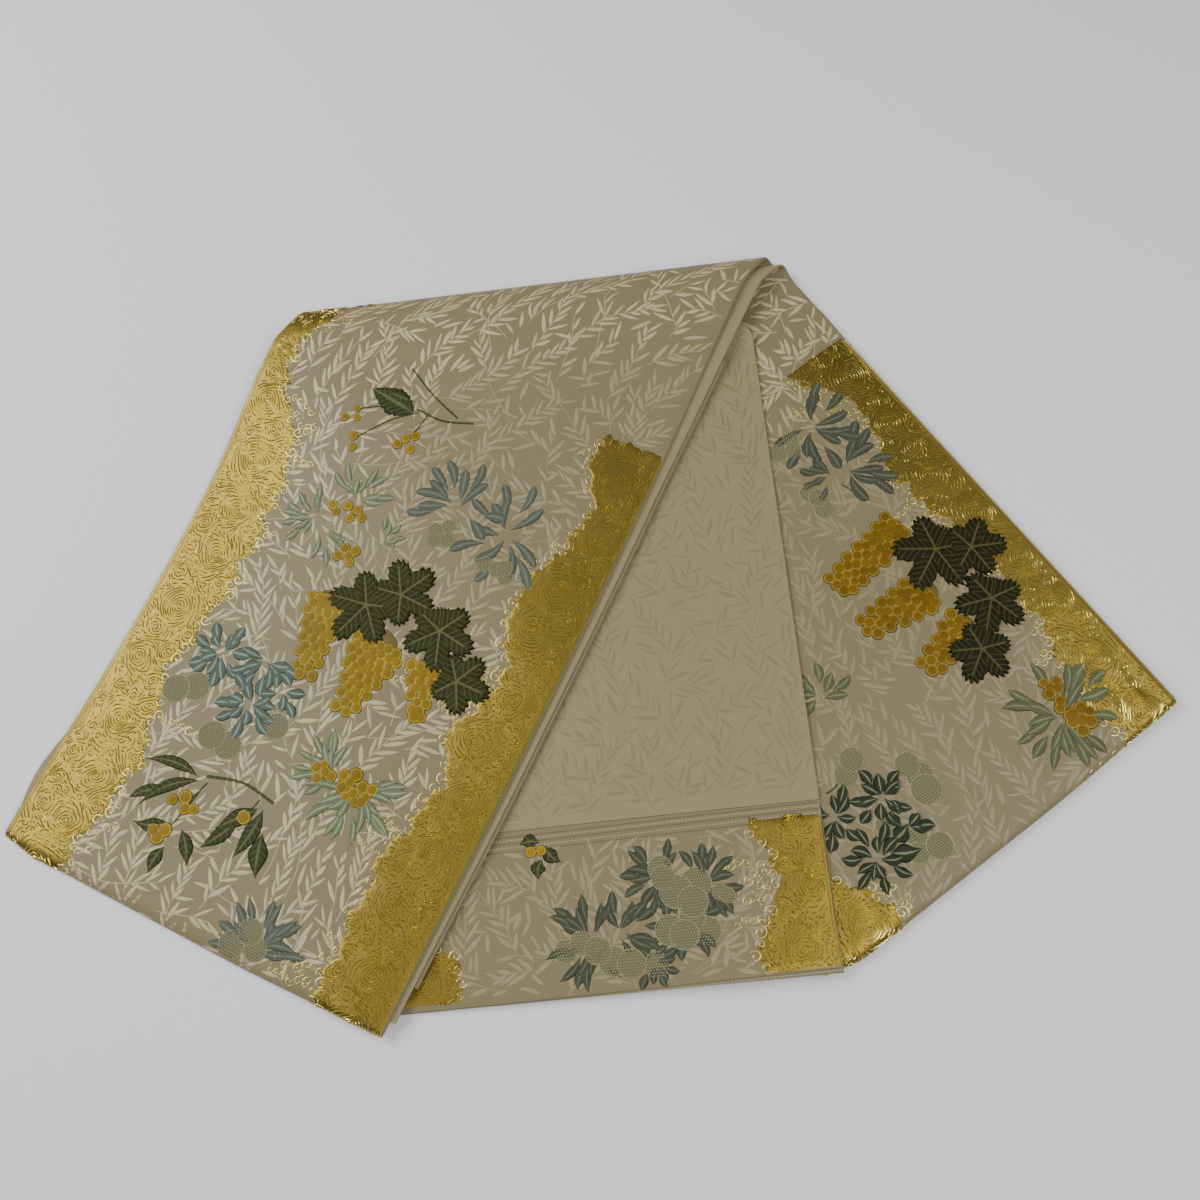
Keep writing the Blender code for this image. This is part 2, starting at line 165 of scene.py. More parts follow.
def end_low(x, y):
    on_leg = RIGHT_TOP + SEAM_GAP
    past_edge = inside_right_leg(x, y) + END_OVERHANG
    height = END_REST + (on_leg - END_REST) * smooth(1.0 + past_edge / END_DROP)
    curl_across = smooth((x - END_LEFT - CURL_FROM) / CURL_SPAN[0])
    curl_along = smooth(1.0 + (END_BOTTOM - y) / CURL_SPAN[1])
    room = 1.0 - smooth(1.0 + past_edge / CURL_FADE)
    return height + END_CURL * curl_across * curl_along * room


def tuck_rise(x, y):
    along_x = smooth((x - TUCK_FROM[0]) / TUCK_SPAN[0])
    return TUCK_RISE * along_x * smooth((y - TUCK_FROM[1]) / TUCK_SPAN[1])


def support_edge(x, y):
    return np.maximum(x - END_LEFT, inside_right_leg(x, y))


def left_support(x, y):
    return end_low(x, y) + LAYER + STACK_GAP


def left_low(x, y):
    return left_support(x, y) * smooth((support_edge(x, y) + DRAPE_LOW[0]) / DRAPE_LOW[1])


def fold_top(x):
    return FOLD_TOP[0] + (FOLD_TOP[1] - FOLD_TOP[0]) * np.clip(x / LEFT_TOP_RIGHT[0], 0.0, 1.05)


def left_top(x, y):
    draped = LEFT_STACK + left_support(x, y) * smooth(1.0 + support_edge(x, y) / DRAPE_TOP)
    return mix(draped, fold_top(x), smooth(1.0 + (y - ROLL_START) / ROLL_RISE))


# ---------------------------------------- rows of points across each cloth


def left_edges(share):
    sway = (4.0 * share * (1.0 - share)) ** SWAY_POWER
    right = mix(LEFT_BOTTOM_RIGHT, LEFT_TOP_RIGHT, share) + (LEFT_SWAY[0] * sway, 0.0)
    left = mix(LEFT_BOTTOM_LEFT, LEFT_TOP_LEFT, share) + (LEFT_SWAY[1] * sway, 0.0)
    return right, left


def left_bulge(share):
    return LEFT_BULGE * math.exp(-(((share - LEFT_BULGE_SHARE) / LEFT_BULGE_WIDTH) ** 2))


def right_edges(share):
    right = mix(RIGHT_BOTTOM_RIGHT, RIGHT_TOP_RIGHT, share)
    left = mix(RIGHT_BOTTOM_LEFT, RIGHT_TOP_LEFT, share)
    return right, left


def spread(right, left, shares=ACROSS):
    right, left = np.asarray(right), np.asarray(left)
    return right + shares[:, None] * (left - right)


def raised(points, height):
    return np.column_stack([points, np.broadcast_to(height, len(points))])


def fold_angles(reach, rise, steps):
    fine = np.linspace(0.0, math.pi, 181)
    outline = np.column_stack([reach * np.sin(fine), rise * np.cos(fine)])
    length = np.concatenate([[0.0], np.cumsum(np.linalg.norm(np.diff(outline, axis=0), axis=1))])
    return np.interp(np.linspace(0.0, length[-1], steps + 1)[1:-1], length, fine)


def end_reach(side):
    shares = ACROSS if side > 0 else ACROSS[::-1]
    reach = mix(END_REACH[0], END_REACH[1], smooth(shares / END_REACH_SPAN))
    inner = smooth((shares - 10 / 11) * 11)
    reach = mix(reach, INNER_END_REACH[side], inner)
    return reach if side > 0 else reach[::-1]


def folded(start, out, reach, low, high, inset, angle):
    half = (high - low) / 2.0
    points = start + np.multiply.outer(reach - inset, out) * math.sin(angle)
    return raised(points, low + half + (half - inset) * math.cos(angle))


def steps_for(length):
    return max(2, round(length / ROW_STEP))


LEFT_LENGTH = np.linalg.norm(np.subtract(LEFT_TOP_RIGHT, LEFT_BOTTOM_RIGHT))
RIGHT_LENGTH = np.linalg.norm(np.subtract(RIGHT_TOP_RIGHT, RIGHT_BOTTOM_RIGHT))


def left_rows(inset):
    """The top layer: tucked under its bottom fold, up the leg, over the roll and under it."""
    rows = []
    for share in np.linspace(TUCK_UNDER, 0.0, 8):
        points = spread(*left_edges(share))
        rows.append(raised(points, left_low(*points.T) + inset))
    bottom = spread(*left_edges(0.0))
    low, high = left_low(*bottom.T), left_top(*bottom.T)
    for angle in fold_angles(END_REACH[1], LEFT_STACK / 2, 14)[::-1]:
        rows.append(folded(bottom, heading(-1), end_reach(-1), low, high, inset, angle))
    first = len(rows)
    for share in np.linspace(0.0, 1.0, steps_for(LEFT_LENGTH)):
        points = spread(*left_edges(share))
        rows.append(raised(points, left_top(*points.T) - inset))
    last = len(rows) - 1
    top = spread(*left_edges(1.0))
    under = spread(UNDER_ROLL_RIGHT, UNDER_ROLL_LEFT)
    angles = fold_angles(ROLL_REACH, FOLD_TOP[0] / 2, 30)
    for step, angle in enumerate(angles, start=1):
        points = mix(top, under, step / (len(angles) + 1))
        high = fold_top(top[:, 0])
        rows.append(folded(points, np.array([0.0, 1.0]), ROLL_REACH, 0.0, high, inset, angle))
    for way in np.linspace(0.0, ROLL_UNDER / math.cos(LEG_ANGLE), 6):
        rows.append(raised(under + heading(1) * way, inset))
    return np.array(rows), first, last, heading(-1), None


def second_edges(share):
    right, left = left_edges(share)
    inset = mix(STACK_INSET, INNER_INSET, smooth((share - 0.80) / 0.08)) - UPPER_BULGE * left_bulge(share)
    return right + (float(np.interp(share, STICK_SHARE, STICK_OUT)), 0.0), left + (inset, 0.0)


def second_layer_height(points, share, inset):
    drop = LAYER + SEAM_GAP + INNER_DROP * smooth((share - INNER_FROM) / (1.0 - INNER_FROM))
    return left_top(*points.T) - drop - inset


def second_rows(inset):
    """The second layer: from under the left leg's top, round the inner roll, and down over the right leg."""
    rows = []
    for share in np.linspace(INNER_FROM, 1.0, 24):
        points = spread(*second_edges(share))
        rows.append(raised(points, second_layer_height(points, share, inset)))
    top = rows[-1][:, :2]
    under = spread(*right_edges(1.0))
    low = RIGHT_TOP - LAYER
    high = second_layer_height(top, 1.0, 0.0)
    angles = fold_angles(INNER_REACH, (high[0] - low) / 2.0, 24)
    for step, angle in enumerate(angles, start=1):
        points = mix(top, under, step / (len(angles) + 1))
        points[:, 0] += INNER_SWING * math.sin(angle) * (1.0 - ACROSS)
        rows.append(folded(points, np.array([0.0, 1.0]), INNER_REACH, low, high, inset, angle))
    first = len(rows)
    for share in np.linspace(1.0, 0.0, steps_for(RIGHT_LENGTH)):
        rows.append(raised(spread(*right_edges(share)), low + inset))
    last = len(rows) - 1
    bottom = spread(*right_edges(0.0))
    from_outside = LAYER - inset
    for angle in fold_angles(END_REACH[1], RIGHT_TOP / 2, 14):
        rows.append(folded(bottom, heading(1), end_reach(1), 0.0, RIGHT_TOP, from_outside, angle))
    for share in np.linspace(0.0, TUCK_UNDER, 8):
        rows.append(raised(spread(*right_edges(share)), from_outside))
    return np.array(rows), first, last, None, heading(1)


def under_left_rows(layer, inset):
    """The second (1) or third (2) layer under the left leg, from its bottom fold up to the roll."""
    start = (0.006, TUCK_UNDER + 0.006)[layer - 1]
    rows = []
    for share in np.linspace(start, INNER_FROM, 90):
        right, left = second_edges(share)
        if layer == 2:
            stick = THIRD_LAYER_OUT * smooth((INNER_FROM + 0.02 - share) / 0.03)
            right = right + (stick, 0.0)
            left = left_edges(share)[1] - (left_bulge(share), 0.0)
        points = spread(right, left)
        drop = (layer - 1) * (LAYER + SEAM_GAP)
        rows.append(raised(points, second_layer_height(points, share, inset) - drop))
    return np.array(rows), 0, len(rows) - 1, heading(-1), None


def under_right_rows(layer, inset):
    """The second (1) or third (2) layer of the right leg, from its bottom fold to under the roll."""
    start = (0.004, TUCK_UNDER + 0.004)[layer - 1]
    rows = []
    for share in np.linspace(start, RIGHT_STACK_END, 90):
        peek = PEEK_OUT * smooth((share - PEEK_FROM) / (PEEK_TO - PEEK_FROM)) - STACK_INSET
        right, left = right_edges(share)
        shift = -across(1)
        points = spread(right + shift * peek, left + shift * STACK_INSET)
        rows.append(raised(points, RIGHT_TOP - layer * (LAYER + SEAM_GAP) - inset))
    return np.array(rows), 0, len(rows) - 1, heading(1), None


def end_right_edge(y):
    return END_RIGHT - END_CORNER_IN * np.clip((y - END_CORNER_FROM) / END_CORNER_SPAN, 0.0, 1.0) ** 3


def end_row(y_right, y_left, inset):
    points = spread((end_right_edge(y_right), y_right), (END_LEFT, y_left))
    return raised(points, end_low(*points.T) + tuck_rise(*points.T) + inset)


TURN_LINE = END_BOTTOM + TURN_BACK
END_TOP = (-0.0434, -0.035)  # y of the middle leg's top right and left corners


def end_leg_rows(inset):
    rows = []
    for share in np.linspace(0.0, 1.0, 14):
        rows.append(end_row(mix(END_TOP[0], -0.080, share), mix(END_TOP[1], -0.080, share), inset))
    for y in np.linspace(-0.080, TURN_LINE + SEAM_GAP, steps_for(-0.080 - TURN_LINE))[1:]:
        rows.append(end_row(y, y, inset))
    return rows


def end_back_rows(inset):
    """The middle leg's back cloth, which shows; inset runs down from its face."""
    rows = end_leg_rows(LAYER - inset)
    return np.array(rows), 0, len(rows) - 1, None, heading(0)


def end_front_rows(inset):
    """The middle leg's front cloth: down its underside, round the end, and back over it."""
    rows = end_leg_rows(inset)
    bottom = END_BOTTOM + LAYER / 2
    under = np.linspace(TURN_LINE, bottom, steps_for(TURN_LINE - bottom))
    rows += [end_row(y, y, inset) for y in under]
    start = rows[-1][:, :2]
    low = end_low(*start.T)
    for angle in fold_angles(LAYER / 2, LAYER / 2, 6)[::-1]:
        rows.append(folded(start, np.array([0.0, -1.0]), LAYER / 2, low, low + LAYER, inset, angle))
    first = len(rows)
    rows += [end_row(y, y, LAYER - inset) for y in under[::-1]]
    return np.array(rows), first, len(rows) - 1, heading(0), None


# ---------------------------------------- soft creases in the cloth

# A crease is a soft line: its two ends in fold coordinates, its half width, and its height, up or down.
LEFT_CREASES = [
    ((0.010, -0.060), (0.120, -0.150), 0.020, 0.0006),
    ((0.060, -0.030), (0.150, -0.110), 0.016, -0.0004),
    ((0.190, -0.030), (0.215, -0.160), 0.022, 0.0007),
    ((0.275, -0.020), (0.262, -0.190), 0.020, -0.0005),
    ((0.330, -0.040), (0.240, -0.240), 0.012, 0.0006),
    ((-0.080, -0.180), (0.060, -0.235), 0.018, 0.0004),
    ((-0.120, -0.300), (0.080, -0.330), 0.024, 0.0005),
    ((0.000, -0.400), (0.110, -0.360), 0.016, -0.0004),
    ((-0.140, -0.400), (-0.020, -0.470), 0.014, 0.0004),
]
END_CREASES = [
    ((0.190, -0.150), (0.340, -0.190), 0.022, 0.0005),
    ((0.150, -0.240), (0.300, -0.300), 0.026, 0.0004),
    ((0.330, -0.080), (0.340, -0.300), 0.012, 0.0004),
]
RIGHT_CREASES = [
    ((0.400, -0.060), (0.470, -0.200), 0.018, 0.0008),
    ((0.440, -0.110), (0.520, -0.270), 0.016, -0.0005),
    ((0.400, -0.330), (0.560, -0.290), 0.022, 0.0006),
    ((0.430, -0.440), (0.560, -0.360), 0.018, 0.0007),
    ((0.400, -0.400), (0.500, -0.420), 0.014, -0.0005),
]
GATHERS = (0.050, 0.0007, 0.021)  # small gathers above the right leg's bottom fold: reach, height and spacing


def creases(points, lines):
    """How far the cloth rises at each point; lines are soft creases."""
    height = np.zeros(points.shape[:-1])
    for start, end, half_width, rise in lines:
        start, end = np.array(start), np.array(end)
        along = end - start
        length = np.linalg.norm(along)
        along = along / length
        offset = points - start
        position = offset @ along / length
        aside = offset @ aside_of(along)
        fade = smooth((position + 0.15) / 0.4) * smooth((1.15 - position) / 0.4)
        height += rise * fade * np.exp(-((aside / half_width) ** 2))
    return height


def left_relief(points):
    return creases(points, LEFT_CREASES)


def end_relief(points):
    return creases(points, END_CREASES)


def right_relief(points):
    """Creases and the bottom's gathers, only where the middle leg doesn't press on the leg."""
    free = smooth((points[..., 0] - END_RIGHT - 0.004) / 0.030)
    along = (points - np.array(RIGHT_BOTTOM_RIGHT)) @ across(1)
    up = (np.array(RIGHT_BOTTOM_RIGHT) - points) @ heading(1)
    reach, height, spacing = GATHERS
    wave = np.sin(along * 2 * math.pi / spacing + 2.5 * np.sin(along * 31) + up * 20)
    gathers = height * wave * np.exp(-((up / reach) ** 2)) * smooth(up / 0.012)
    return (creases(points, RIGHT_CREASES) + gathers) * free


# ---------------------------------------- a cloth as a grid that patterns are laid on


class Cloth:
    """A cloth's face as a grid of points, each with its flat place, so that flat figures can be laid on."""

    def __init__(self, rows_at, face, back, relief, outward):
        rows, first, last, before, after = rows_at(face)
        inner = rows_at(back)[0]
        self.columns = rows.shape[1]
        flat = rows[..., :2].copy()
        step = np.linalg.norm(np.diff(rows, axis=0), axis=2).mean(axis=1)
        up = np.array([0.0, 1.0])
        before = up if before is None else before
        after = up if after is None else after
        for r in range(first - 1, -1, -1):
            flat[r] = flat[r + 1] + before * step[r]
        for r in range(last + 1, len(rows)):
            flat[r] = flat[r - 1] + after * step[r - 1]
        normals = self.normals_of(rows, outward)
        rise = relief(flat) if relief else np.zeros(flat.shape[:-1])
        fade = smooth(np.minimum(ACROSS, 1 - ACROSS) * BAND_WIDTH / 0.006)
        shift = normals * (rise * (0.35 + 0.65 * fade))[..., None]
        self.points, self.inner = rows + shift, inner + shift
        self.points = self.points - normals * edge_drop()[None, :, None]
        self.normals = self.normals_of(self.points, outward)
        self.flat = flat
        self.right, self.left = flat[:, 0], flat[:, -1]

    @staticmethod
    def normals_of(points, outward):
        down = np.gradient(points, axis=0)
        aside = np.gradient(points, axis=1)
        normals = np.cross(down, aside) * outward
        return normals / np.maximum(np.linalg.norm(normals, axis=2, keepdims=True), 1e-12)

    def place(self, points, lift):
        """3-D places of flat points, lifted off the cloth by lift."""
        points = np.asarray(points, float)
        lift = np.broadcast_to(lift, len(points))
        placed = np.empty((len(points), 3))
        line = self.left - self.right
        length = np.linalg.norm(line, axis=1)
        line = line / length[:, None]
        ahead = aside_of(line)
        if (np.roll(self.right, -1, axis=0) - self.right)[len(line) // 2] @ ahead[len(line) // 2] < 0:
            ahead = -ahead
        for start in range(0, len(points), 20000):
            part = points[start : start + 20000]
            past = part @ ahead.T - (self.right * ahead).sum(axis=1)
            row = np.clip((past > 0).sum(axis=1) - 1, 0, len(line) - 2)
            pick = np.arange(len(part))
            near, far = past[pick, row], past[pick, row + 1]
            way = np.clip(near / np.where(near - far == 0, 1, near - far), 0, 1)
            right = mix(self.right[row], self.right[row + 1], way[:, None])
            left = mix(self.left[row], self.left[row + 1], way[:, None])
            span = left - right
            share = ((part - right) * span).sum(axis=1) / (span * span).sum(axis=1)
            share = np.clip(share, 0.0, 1.0)
            column = np.clip(np.searchsorted(ACROSS, share, side="right") - 1, 0, self.columns - 2)
            over = (share - ACROSS[column]) / (ACROSS[column + 1] - ACROSS[column])
            point, normal = (
                mix(
                    mix(field[row, column], field[row + 1, column], way[:, None]),
                    mix(field[row, column + 1], field[row + 1, column + 1], way[:, None]),
                    over[:, None],
                )
                for field in (self.points, self.normals)
            )
            normal /= np.linalg.norm(normal, axis=1, keepdims=True)
            placed[start : start + 20000] = point + normal * lift[start : start + 20000, None]
        placed[:, 2] = np.maximum(placed[:, 2], 0.0)  # nothing goes below what the sash lies on
        return placed


def edge_drop():
    """How far the cloth's face turns down at each column by its two seamed edges."""
    inside = np.minimum(ACROSS, 1 - ACROSS) * BAND_WIDTH
    turn = np.clip(1 - inside / EDGE_ROUND, 0, 1)
    return 0.45 * CLOTH * (1 - np.sqrt(1 - turn**2 * 0.999))


def new_mesh(name, points, faces):
    mesh = bpy.data.meshes.new(name)
    mesh.from_pydata(points.tolist(), [], faces)
    mesh.shade_smooth()
    return mesh


def linked(name, data):
    """An object of the given data, in the scene."""
    made = bpy.data.objects.new(name, data)
    bpy.context.scene.collection.objects.link(made)
    return made


def add_values(mesh, name, values, kind="FLOAT", field="value"):
    """Gives each point of a mesh a value."""
    made = mesh.attributes.new(name, kind, "POINT")
    made.data.foreach_set(field, values.astype(np.float32).ravel())


def add_flat_map(mesh, name, flat):
    """Gives each point of a mesh a flat place."""
    layer = mesh.uv_layers.new(name=name)
    corner = np.empty(len(mesh.loops), np.int32)
    mesh.loops.foreach_get("vertex_index", corner)
    layer.data.foreach_set("uv", flat[corner].astype(np.float32).ravel())


def add_piece(name, points, faces, material, smooth_angle):
    """A mesh piece from points in fold coordinates."""
    mesh = new_mesh(name, points + (*FOLD_LEFT, 0.0), faces)
    mesh.set_sharp_from_angle(angle=math.radians(smooth_angle))
    mesh.materials.append(material)
    return linked(name, mesh)


def cloth_shell(name, cloth, material, outward, hidden_rows=0, step=1, column_step=1):
    """A closed thin shell between a cloth's two faces, with fewer rows and columns where it never shows."""
    rows, columns = cloth.points.shape[:2]
    edge, hidden = len(EDGE_STEPS), min(hidden_rows, rows)
    row_pick = sorted({*range(0, hidden, step), *range(hidden, rows), rows - 1})
    middle = range(edge, columns - edge, column_step)
    lines = np.ix_(row_pick, sorted({*range(edge), *middle, *range(columns - edge, columns)}))
    face, back, place = cloth.points[lines], cloth.inner[lines], cloth.flat[lines]
    rows, columns = face.shape[:2]
    shift = rows * columns
    number = np.arange(shift).reshape(rows, columns)
    top = grid_faces(rows, columns)
    rim = np.array([*number[0, :], *number[1:, -1], *number[-1, -2::-1], *number[-2:0:-1, 0]])
    after = np.roll(rim, -1)
    side = np.column_stack([rim, after, after + shift, rim + shift])
    if outward < 0:
        top, side = top[:, ::-1], side[:, ::-1]
    points = np.vstack([face.reshape(-1, 3), back.reshape(-1, 3)])
    faces = np.vstack([top, top[:, ::-1] + shift, side]).tolist()
    piece = add_piece(name, points, faces, material, 50)
    add_flat_map(piece.data, "cloth_flat", np.vstack([place.reshape(-1, 2)] * 2))
    return piece


# ---------------------------------------- materials


def colour(hex_value):
    """Linear RGBA from an sRGB hex string."""
    channels = [int(hex_value[i : i + 2], 16) / 255 for i in (1, 3, 5)]
    linear = [c / 12.92 if c <= 0.04045 else ((c + 0.055) / 1.055) ** 2.4 for c in channels]
    return (*linear, 1.0)


def feed(tree, made, **links):
    """Sets a node's inputs, by name or as _number, each to a value or to another node's output."""
    for key, value in links.items():
        socket = made.inputs[int(key[1:])] if key[1:].isdigit() else made.inputs[key.replace("_", " ")]
        if isinstance(value, bpy.types.NodeSocket):
            tree.links.new(value, socket)
        else:
            socket.default_value = value


def node(tree, kind, settings=None, **links):
    """Adds a node and feeds it."""
    made = tree.nodes.new(kind)
    for key, value in (settings or {}).items():
        setattr(made, key, value)
    feed(tree, made, **links)
    return made


def calculate(tree, operation, *values):
    links = {f"_{number}": value for number, value in enumerate(values)}
    return node(tree, "ShaderNodeMath", {"operation": operation}, **links).outputs[0]


def remap(tree, value, start, end, low, high):
    """Turns a value between start and end into one between low and high."""
    return node(tree, "ShaderNodeMapRange", Value=value, _1=start, _2=end, _3=low, _4=high).outputs[0]


def blend(tree, share, first, second):
    return node(tree, "ShaderNodeMix", {"data_type": "RGBA"}, _0=share, _6=first, _7=second).outputs[2]


def lighten(tree, tint, value):
    return node(tree, "ShaderNodeHueSaturation", Color=tint, Value=value).outputs["Color"]


def bump(tree, height, strength):
    return node(tree, "ShaderNodeBump", Height=height, Strength=strength, Distance=0.0002).outputs["Normal"]


def read(tree, *names):
    """What a piece's points say under each name."""
    return [node(tree, "ShaderNodeAttribute", {"attribute_name": name}).outputs["Fac"] for name in names]


def flat_place(tree, name):
    return node(tree, "ShaderNodeUVMap", {"uv_map": name}).outputs["UV"]


def grain_axes(tree):
    """The place along a figure's threads, and across them."""
    axes = node(tree, "ShaderNodeSeparateXYZ", Vector=flat_place(tree, "grain")).outputs
    return axes["X"], axes["Y"]


def new_material(name, base, rough, **constants):
    material = bpy.data.materials.new(name)
    material.use_nodes = True
    tree = material.node_tree
    shader = tree.nodes["Principled BSDF"]
    feed(tree, shader, Base_Color=colour(base), Roughness=rough, **constants)
    return material, tree, shader


def woven_ground(name, base, dark):
    """Silk satin ground, woven in a fine twill: a soft, even gloss with the faintest slanting ribs.

    The real threads lie 0.2 mm apart; the ribs are drawn over 1 mm apart so that they show.
    """
    material, tree, shader = new_material(name, base, 0.46, Sheen_Weight=0.05, Specular_IOR_Level=0.25)
    place = flat_place(tree, "cloth_flat")
    turned = node(tree, "ShaderNodeMapping", Vector=place, Rotation=(0, 0, 0.9)).outputs["Vector"]
    ribs = node(tree, "ShaderNodeTexWave", Vector=turned, Scale=260.0, Distortion=1.5, Detail=1.0)
    cloud = node(tree, "ShaderNodeTexNoise", Vector=place, Scale=420.0, Detail=2.0, Roughness=0.6)
    ribs = ribs.outputs["Fac"]
    shade = calculate(tree, "MULTIPLY", ribs, cloud.outputs["Fac"])
    tint = blend(tree, shade, colour(base), colour(dark))
    feed(tree, shader, Base_Color=tint, Normal=bump(tree, ribs, 0.05))
    return material


def ground_leaf_silk(name, base, light):
    """Satin leaves floated over the twill: their long floats catch more light than the ground does. That
    light is painted: fade blends each leaf from base toward light, which on the front cloth is a painted
    sheen.
    """
    material, tree, shader = new_material(name, light, 0.38, Specular_IOR_Level=0.4)
    fade, chance = read(tree, "fade", "chance")
    along, aside = grain_axes(tree)
    slant = calculate(tree, "MULTIPLY_ADD", aside, 0.09, along)
    hatch = calculate(tree, "SINE", calculate(tree, "MULTIPLY", slant, 56.0))
    # fade sets how far a leaf is blended toward its second colour: painted sheen on the front cloth
    share = calculate(tree, "MULTIPLY", fade, remap(tree, chance, 0.0, 1.0, 0.72, 1.0))
    lit = calculate(tree, "MULTIPLY", share, remap(tree, hatch, -1.0, 1.0, 0.62, 1.0))
    feed(tree, shader, Base_Color=blend(tree, lit, colour(base), colour(light)))
    return material


def figure_silk(name, base, vein, rim, pitch=1.3, veined=0.0, middle=0.7, rim_from=0.74):
    """Brocaded silk figure: thick floss side by side, with a paler thread along its middle and a darker rim.

    The real floss lies 0.4 mm apart; it is drawn at pitch millimetres so that it shows. veined is how clearly
    side veins show, middle how clearly the middle one does, and rim_from where across it the rim begins.
    """
    material, tree, shader = new_material(name, base, 0.50, Specular_IOR_Level=0.12)
    along, aside = grain_axes(tree)
    edge, tone = read(tree, "edge", "tone")
    slant = calculate(tree, "MULTIPLY_ADD", calculate(tree, "ABSOLUTE", aside), -0.8, along)
    turns = 2 * math.pi / (pitch * MM)
    phases = (calculate(tree, "MULTIPLY", slant, rate) for rate in (turns, turns / 3.6))
    wave, veins = (calculate(tree, "SINE", phase) for phase in phases)
    side = remap(tree, veins, 0.80, 0.98, 0.0, veined)
    centre = remap(tree, edge, 0.05, 0.20, middle, 0.0)
    inner = calculate(tree, "MULTIPLY", calculate(tree, "COMPARE", edge, 0.50, 0.09), 0.35 * (1 - veined))
    border = remap(tree, edge, rim_from, 0.4 * rim_from + 0.6, 0.0, 0.95)
    tint = blend(tree, calculate(tree, "MAXIMUM", side, centre), colour(base), colour(vein))
    tint = blend(tree, calculate(tree, "MAXIMUM", inner, border), tint, colour(rim))
    tint = lighten(tree, tint, remap(tree, tone, 0.0, 1.0, 0.84, 1.16))
    feed(tree, shader, Base_Color=tint, Normal=bump(tree, wave, 0.35))
    return material


def disc_silk(name, base, ring, rim_shade):
    """Brocaded berries and grapes: satin floss with a fine paler ring near the rim, and painted shade at the
    rim, where each meets its neighbours and the cloth.
    """
    material, tree, shader = new_material(name, base, 0.45, Specular_IOR_Level=0.15)
    edge, chance = read(tree, "edge", "chance")
    ramp = node(tree, "ShaderNodeValToRGB", Fac=edge)
    stops = ramp.color_ramp.elements
    stops[0].color, stops[1].color = colour(base), colour(rim_shade)
    for position, value in ((0.62, base), (0.72, ring), (0.80, ring), (0.90, rim_shade)):
        stops.new(position).color = colour(value)
    light = remap(tree, chance, 0.0, 1.0, 0.85, 1.12)
    feed(tree, shader, Base_Color=lighten(tree, ramp.outputs["Color"], light))
    return material


def gilt_silk(name, crest, hollow_shade):
    """Gilt paper and gilt thread woven together: a polished yellow metal, duller in its hollows. There it is
    rougher, and it is also painted darker, as painted shade, in the hollows and on the plate between the
    threads.
    """
    polished, dull = 0.24, 0.42
    material, tree, shader = new_material(name, crest, polished, Metallic=1.0)
    depth = remap(tree, read(tree, "edge")[0], 0.15, 0.75, 0.0, 1.0)
    # Painted shade: the hollows and the plate are painted toward the darker colour.
    tint = blend(tree, depth, colour(crest), colour(hollow_shade))
    feed(tree, shader, Base_Color=tint, Roughness=remap(tree, depth, 0.0, 1.0, polished, dull))
    return material


# ---------------------------------------- flat drawing, in a leg's own millimetres

# Each leg's frame in fold coordinates: its bottom left corner, and the way of its width and of its length.
LEGS = {
    "left": (LEFT_BOTTOM_LEFT, -across(-1), -heading(-1)),
    "right": (RIGHT_BOTTOM_LEFT, -across(1), -heading(1)),
    "end": (np.array([END_LEFT, END_BOTTOM]), np.array([1.0, 0.0]), np.array([0.0, 1.0])),
}
BURIED = -0.06  # mm: a woven figure's rim lies just under the cloth's face


def on_leg(leg, points):
    """Fold coordinates of points in a leg's own millimetres."""
    corner, wide, long = LEGS[leg]
    points = np.asarray(points, float) * MM
    return corner + points[:, :1] * wide + points[:, 1:2] * long


class Figures:
    """Figures of one silk on one leg: flat points in millimetres with a lift, and what the material reads.

    grain is the place along and across the figure's threads in millimetres, and edge runs from 0 on the
    figure's middle line to 1 on its rim.
    """

    def __init__(self):
        self.points, self.lift, self.faces = [], [], []
        self.grain, self.edge, self.tone = [], [], []
        self.count = 0

    def add(self, points, lift, faces, grain, edge, tone=0.5):
        """Adds a grid or a row of points; lift, edge and tone are numbers, or fit that grid or row."""
        shape = points.shape[:-1]
        for kept, values in ((self.lift, lift), (self.edge, edge), (self.tone, tone)):
            kept.append(np.broadcast_to(values, shape).ravel())
        self.points.append(points.reshape(-1, 2))
        self.grain.append(grain.reshape(-1, 2))
        self.faces += (faces + self.count).tolist() if len(faces) else []
        self.count += len(self.points[-1])

    def dress(self, mesh, unit):
        """Gives a mesh of the figures what their silk's material reads."""
        add_values(mesh, "edge", np.concatenate(self.edge))
        add_values(mesh, "tone", np.concatenate(self.tone))
        add_flat_map(mesh, "grain", np.vstack(self.grain) * unit)

    def lay(self, name, leg, cloth, material):
        placed = cloth.place(on_leg(leg, np.vstack(self.points)), np.concatenate(self.lift) * MM)
        piece = add_piece(name, placed, self.faces, material, 60)
        self.dress(piece.data, MM)
        return piece


def grid_faces(rows, columns, closed=False):
    number = np.arange(rows * columns).reshape(rows, columns)
    if closed:
        number = np.column_stack([number, number[:, :1]])
    a, b, c, d = number[:-1, :-1], number[1:, :-1], number[1:, 1:], number[:-1, 1:]
    return np.stack([a, b, c, d], axis=-1).reshape(-1, 4)


def strip(line, half, v):
    """Points across a flat line: v is their place across it, from -1 to 1, and half is its half width."""
    tangent = np.gradient(line, axis=0)
    tangent /= np.maximum(np.linalg.norm(tangent, axis=1, keepdims=True), 1e-9)
    reach = np.broadcast_to(half, len(line))[:, None] * v
    return line[:, None] + aside_of(tangent)[:, None] * reach[..., None]


